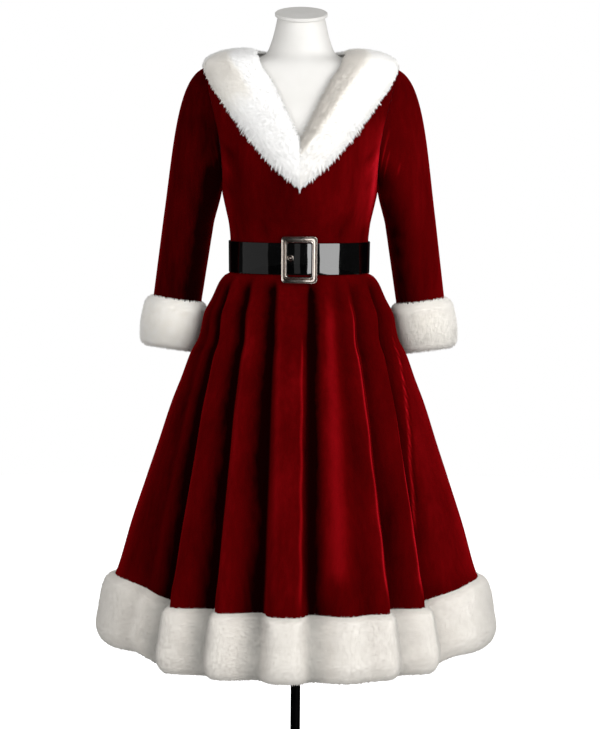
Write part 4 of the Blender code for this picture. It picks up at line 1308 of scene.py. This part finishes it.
def make_belt():
    """A band lying on the bodice: its section is a straight face between two quarter circles."""
    azimuth = np.arange(BELT_COLUMNS) * 360 / BELT_COLUMNS
    cos, sin = (function(np.linspace(0, math.pi / 2, 6)) for function in (np.cos, np.sin))
    low, high, face = BELT_BOTTOM_Z + BELT_ROUND, BELT_TOP_Z - BELT_ROUND, BELT_THICKNESS - BELT_ROUND
    z = np.concatenate([[BELT_BOTTOM_Z], low - BELT_ROUND * cos, high + BELT_ROUND * sin, [BELT_TOP_Z]])
    out = np.concatenate([[0], face + BELT_ROUND * sin, face + BELT_ROUND * cos, [0]])
    rings = moved_out(belt_seat, azimuth, z[:, None], out[:, None] + SEAM)
    add_piece("belt", "strap", *looped(rings), sharp=40)


def rounded_rectangle(half, corner):
    """Points round a rectangle with round corners, at the same share of each side and corner for any size."""
    quarter = np.linspace(0, math.pi / 2, 12)
    arc = corner * np.stack([np.cos(quarter), np.sin(quarter)], -1)
    points = []
    for turn in range(4):
        across, up = half if turn % 2 == 0 else half[::-1]
        side = np.linspace(-1, 1, 14)[1:-1] * (up - corner)
        straight = np.stack([np.full(len(side), across), side], -1)
        bend = np.array([across - corner, up - corner]) + arc
        cos, sin = round(math.cos(turn * math.pi / 2)), round(math.sin(turn * math.pi / 2))
        points.append(np.concatenate([straight, bend]) @ np.array([[cos, sin], [-sin, cos]]))
    return np.concatenate(points)


def make_buckle():
    """A frame bent to the belt: rings from the outer rectangle to the window, as high as its section says."""
    outside = rounded_rectangle(BUCKLE_HALF, BUCKLE_CORNER)
    window = rounded_rectangle(WINDOW_HALF, WINDOW_CORNER)
    across = np.concatenate([[0, 0.01], np.linspace(0.03, 0.97, 34), [0.99, 1]])[:, None]
    flat = mix(outside, window, across[..., None])
    rings = on_belt(flat[..., 0], flat[..., 1] + BUCKLE_Z, read(BUCKLE_SECTION, "height", across))
    add_piece("buckle_frame", "metal", *looped(rings), sharp=60)


def make_eyelet():
    """A ring set on the belt inside the buckle, and the peg through it."""
    around = np.linspace(0, 2 * math.pi, 40, endpoint=False)

    def rings(radius, height):
        """Circles on the belt round the eyelet's middle, and as far off it as their heights."""
        return on_belt(EYELET_X + radius * np.cos(around), EYELET_Z + radius * np.sin(around), height)

    section = np.linspace(0, 2 * math.pi, 14, endpoint=False)[:, None]
    radius = EYELET_RADIUS - EYELET_WIRE + EYELET_WIRE * np.cos(section)
    add_piece("eyelet", "metal", *looped(rings(radius, EYELET_WIRE * (1 + np.sin(section)))), sharp=80)
    height = np.linspace(PEG["height"][0], PEG["height"][-1], 14)[:, None]
    add_piece("peg", "metal", *skinned(rings(read(PEG, "reach", height), height)), sharp=80)


def turned(profile, columns, parts):
    """Points and faces of a profile of heights and radii turned about Z, with its lines cut in parts."""
    turn = np.linspace(0, 2 * math.pi, columns, endpoint=False)
    at = np.linspace(0, len(profile) - 1, (len(profile) - 1) * parts + 1)
    radius, z = (np.interp(at, np.arange(len(profile)), profile[key])[:, None] for key in ("radius", "z"))
    return skinned(np.stack(np.broadcast_arrays(radius * np.cos(turn), radius * np.sin(turn), z), axis=-1))


def make_form():
    """The limbless form, just clear of the cloth, with its neck cut on a slant and a cap on it."""
    azimuth = (np.arange(FORM_COLUMNS) + 0.5) * 360 / FORM_COLUMNS
    low = np.linspace(HIPS["z"][0], HIPS["z"][-1], 16)[:, None]
    hips = round_the_axis(*(read(HIPS, side, low) for side in SIDES), azimuth, low)
    inside = np.concatenate([np.linspace(1.0, 1.36, 26), np.linspace(1.363, NECK_TOP_Z, 36)])[:, None]
    torso = moved_out(body, azimuth, inside, -FORM_DEPTH)
    torso[-1, :, 2] = inside[-1]
    slant = np.clip((inside - NECK_BEND_Z) / (NECK_TOP_Z - NECK_BEND_Z), 0, 1)
    torso[..., 2] += slant * torso[..., 1] * math.tan(CAP_TILT)
    add_piece("form_body", "shell", *skinned(np.concatenate([hips, torso])), sharp=60)
    points, faces = turned(CAP, 80, 4)
    points = points @ np.array(Matrix.Rotation(CAP_TILT, 3, "X")).T + np.array([0, 0, NECK_TOP_Z + 2 * SEAM])
    add_piece("form_neck_cap", "lid", points, faces, sharp=30)


def make_stand():
    """The base is its profile turned about Z, and the pole a tube from there to the form."""
    add_piece("stand_base", "plate", *turned(BASE, 96, 5), sharp=25)
    pole = table("z radius", (BASE["z"][-1] + SEAM, POLE_RADIUS), (FORM_BOTTOM_Z - SEAM, POLE_RADIUS))
    add_piece("stand_pole", "tube", *turned(pole, 40, 16), sharp=40)


# Camera, lights and floor


def make_camera():
    """A long lens in front, a little above the belt, tilted down and turned by the photo's small roll."""
    camera = bpy.data.objects.new("camera", bpy.data.cameras.new("camera"))
    camera.data.lens = LENS
    camera.data.sensor_width = 36
    camera.data.clip_end = 60
    down, roll = math.radians(90 - CAMERA_DOWN), math.radians(CAMERA_ROLL)
    tilt = Matrix.Rotation(down, 4, "X") @ Matrix.Rotation(roll, 4, "Z")
    camera.matrix_world = Matrix.Translation(CAMERA_PLACE) @ tilt
    bpy.context.scene.collection.objects.link(camera)
    bpy.context.scene.camera = camera


def make_lights():
    """A softbox for each row, facing the object's axis at the height that it is aimed at."""
    for number, row in enumerate(LIGHTS):
        turn = math.radians(row["azimuth"])
        data = bpy.data.lights.new(f"softbox_{number}", "AREA")
        data.shape = "RECTANGLE"
        data.size, data.size_y = row["width"], row["height"]
        data.energy = row["radiance"] * row["width"] * row["height"] * math.pi
        lamp = bpy.data.objects.new(f"softbox_{number}", data)
        place = Vector((math.sin(turn) * row["distance"], -math.cos(turn) * row["distance"], row["z"]))
        lamp.location = place
        lamp.rotation_euler = (Vector((0, 0, row["aim_z"])) - place).to_track_quat("-Z", "Y").to_euler()
        lamp.visible_glossy = bool(row["mirrored"])
        bpy.context.scene.collection.objects.link(lamp)


def make_room():
    """A white surround for the camera that lights the object only dimly, and a pale floor."""
    scene = bpy.context.scene
    scene.view_settings.view_transform = "Standard"
    scene.world = bpy.data.worlds.new("studio")
    scene.world.use_nodes = True
    tree = scene.world.node_tree
    background = tree.nodes["Background"]
    background.inputs["Color"].default_value = (1, 1, 1, 1)
    seen = add_node(tree, "ShaderNodeLightPath").outputs
    for_object = ranged_value(tree, seen["Is Glossy Ray"], 0.0, 1.0, SURROUND_LIGHT, SURROUND_MIRRORED)
    strength = ranged_value(tree, seen["Is Camera Ray"], 0.0, 1.0, for_object)
    tree.links.new(strength, background.inputs["Strength"])
    turn = np.linspace(0, 2 * math.pi, 96, endpoint=False)
    edge = np.stack([FLOOR_RADIUS * np.cos(turn), FLOOR_RADIUS * np.sin(turn), 0 * turn - FLOOR_DROP], -1)
    mesh = bpy.data.meshes.new("floor")
    mesh.from_pydata(edge.tolist(), [], [list(range(len(turn)))])
    floor_white()
    mesh.materials.append(FINISHES["floor_white"])
    floor = bpy.data.objects.new("floor", mesh)
    scene.collection.objects.link(floor)


def main():
    """The photo's view and light, the finishes, and then every piece."""
    make_camera()
    make_lights()
    make_room()
    velvet()
    fur()
    plain_finishes()
    make_bodice(make_collar())
    make_sleeves(make_cuffs())
    make_skirt(make_hem())
    make_belt()
    make_buckle()
    make_eyelet()
    make_form()
    make_stand()


main()
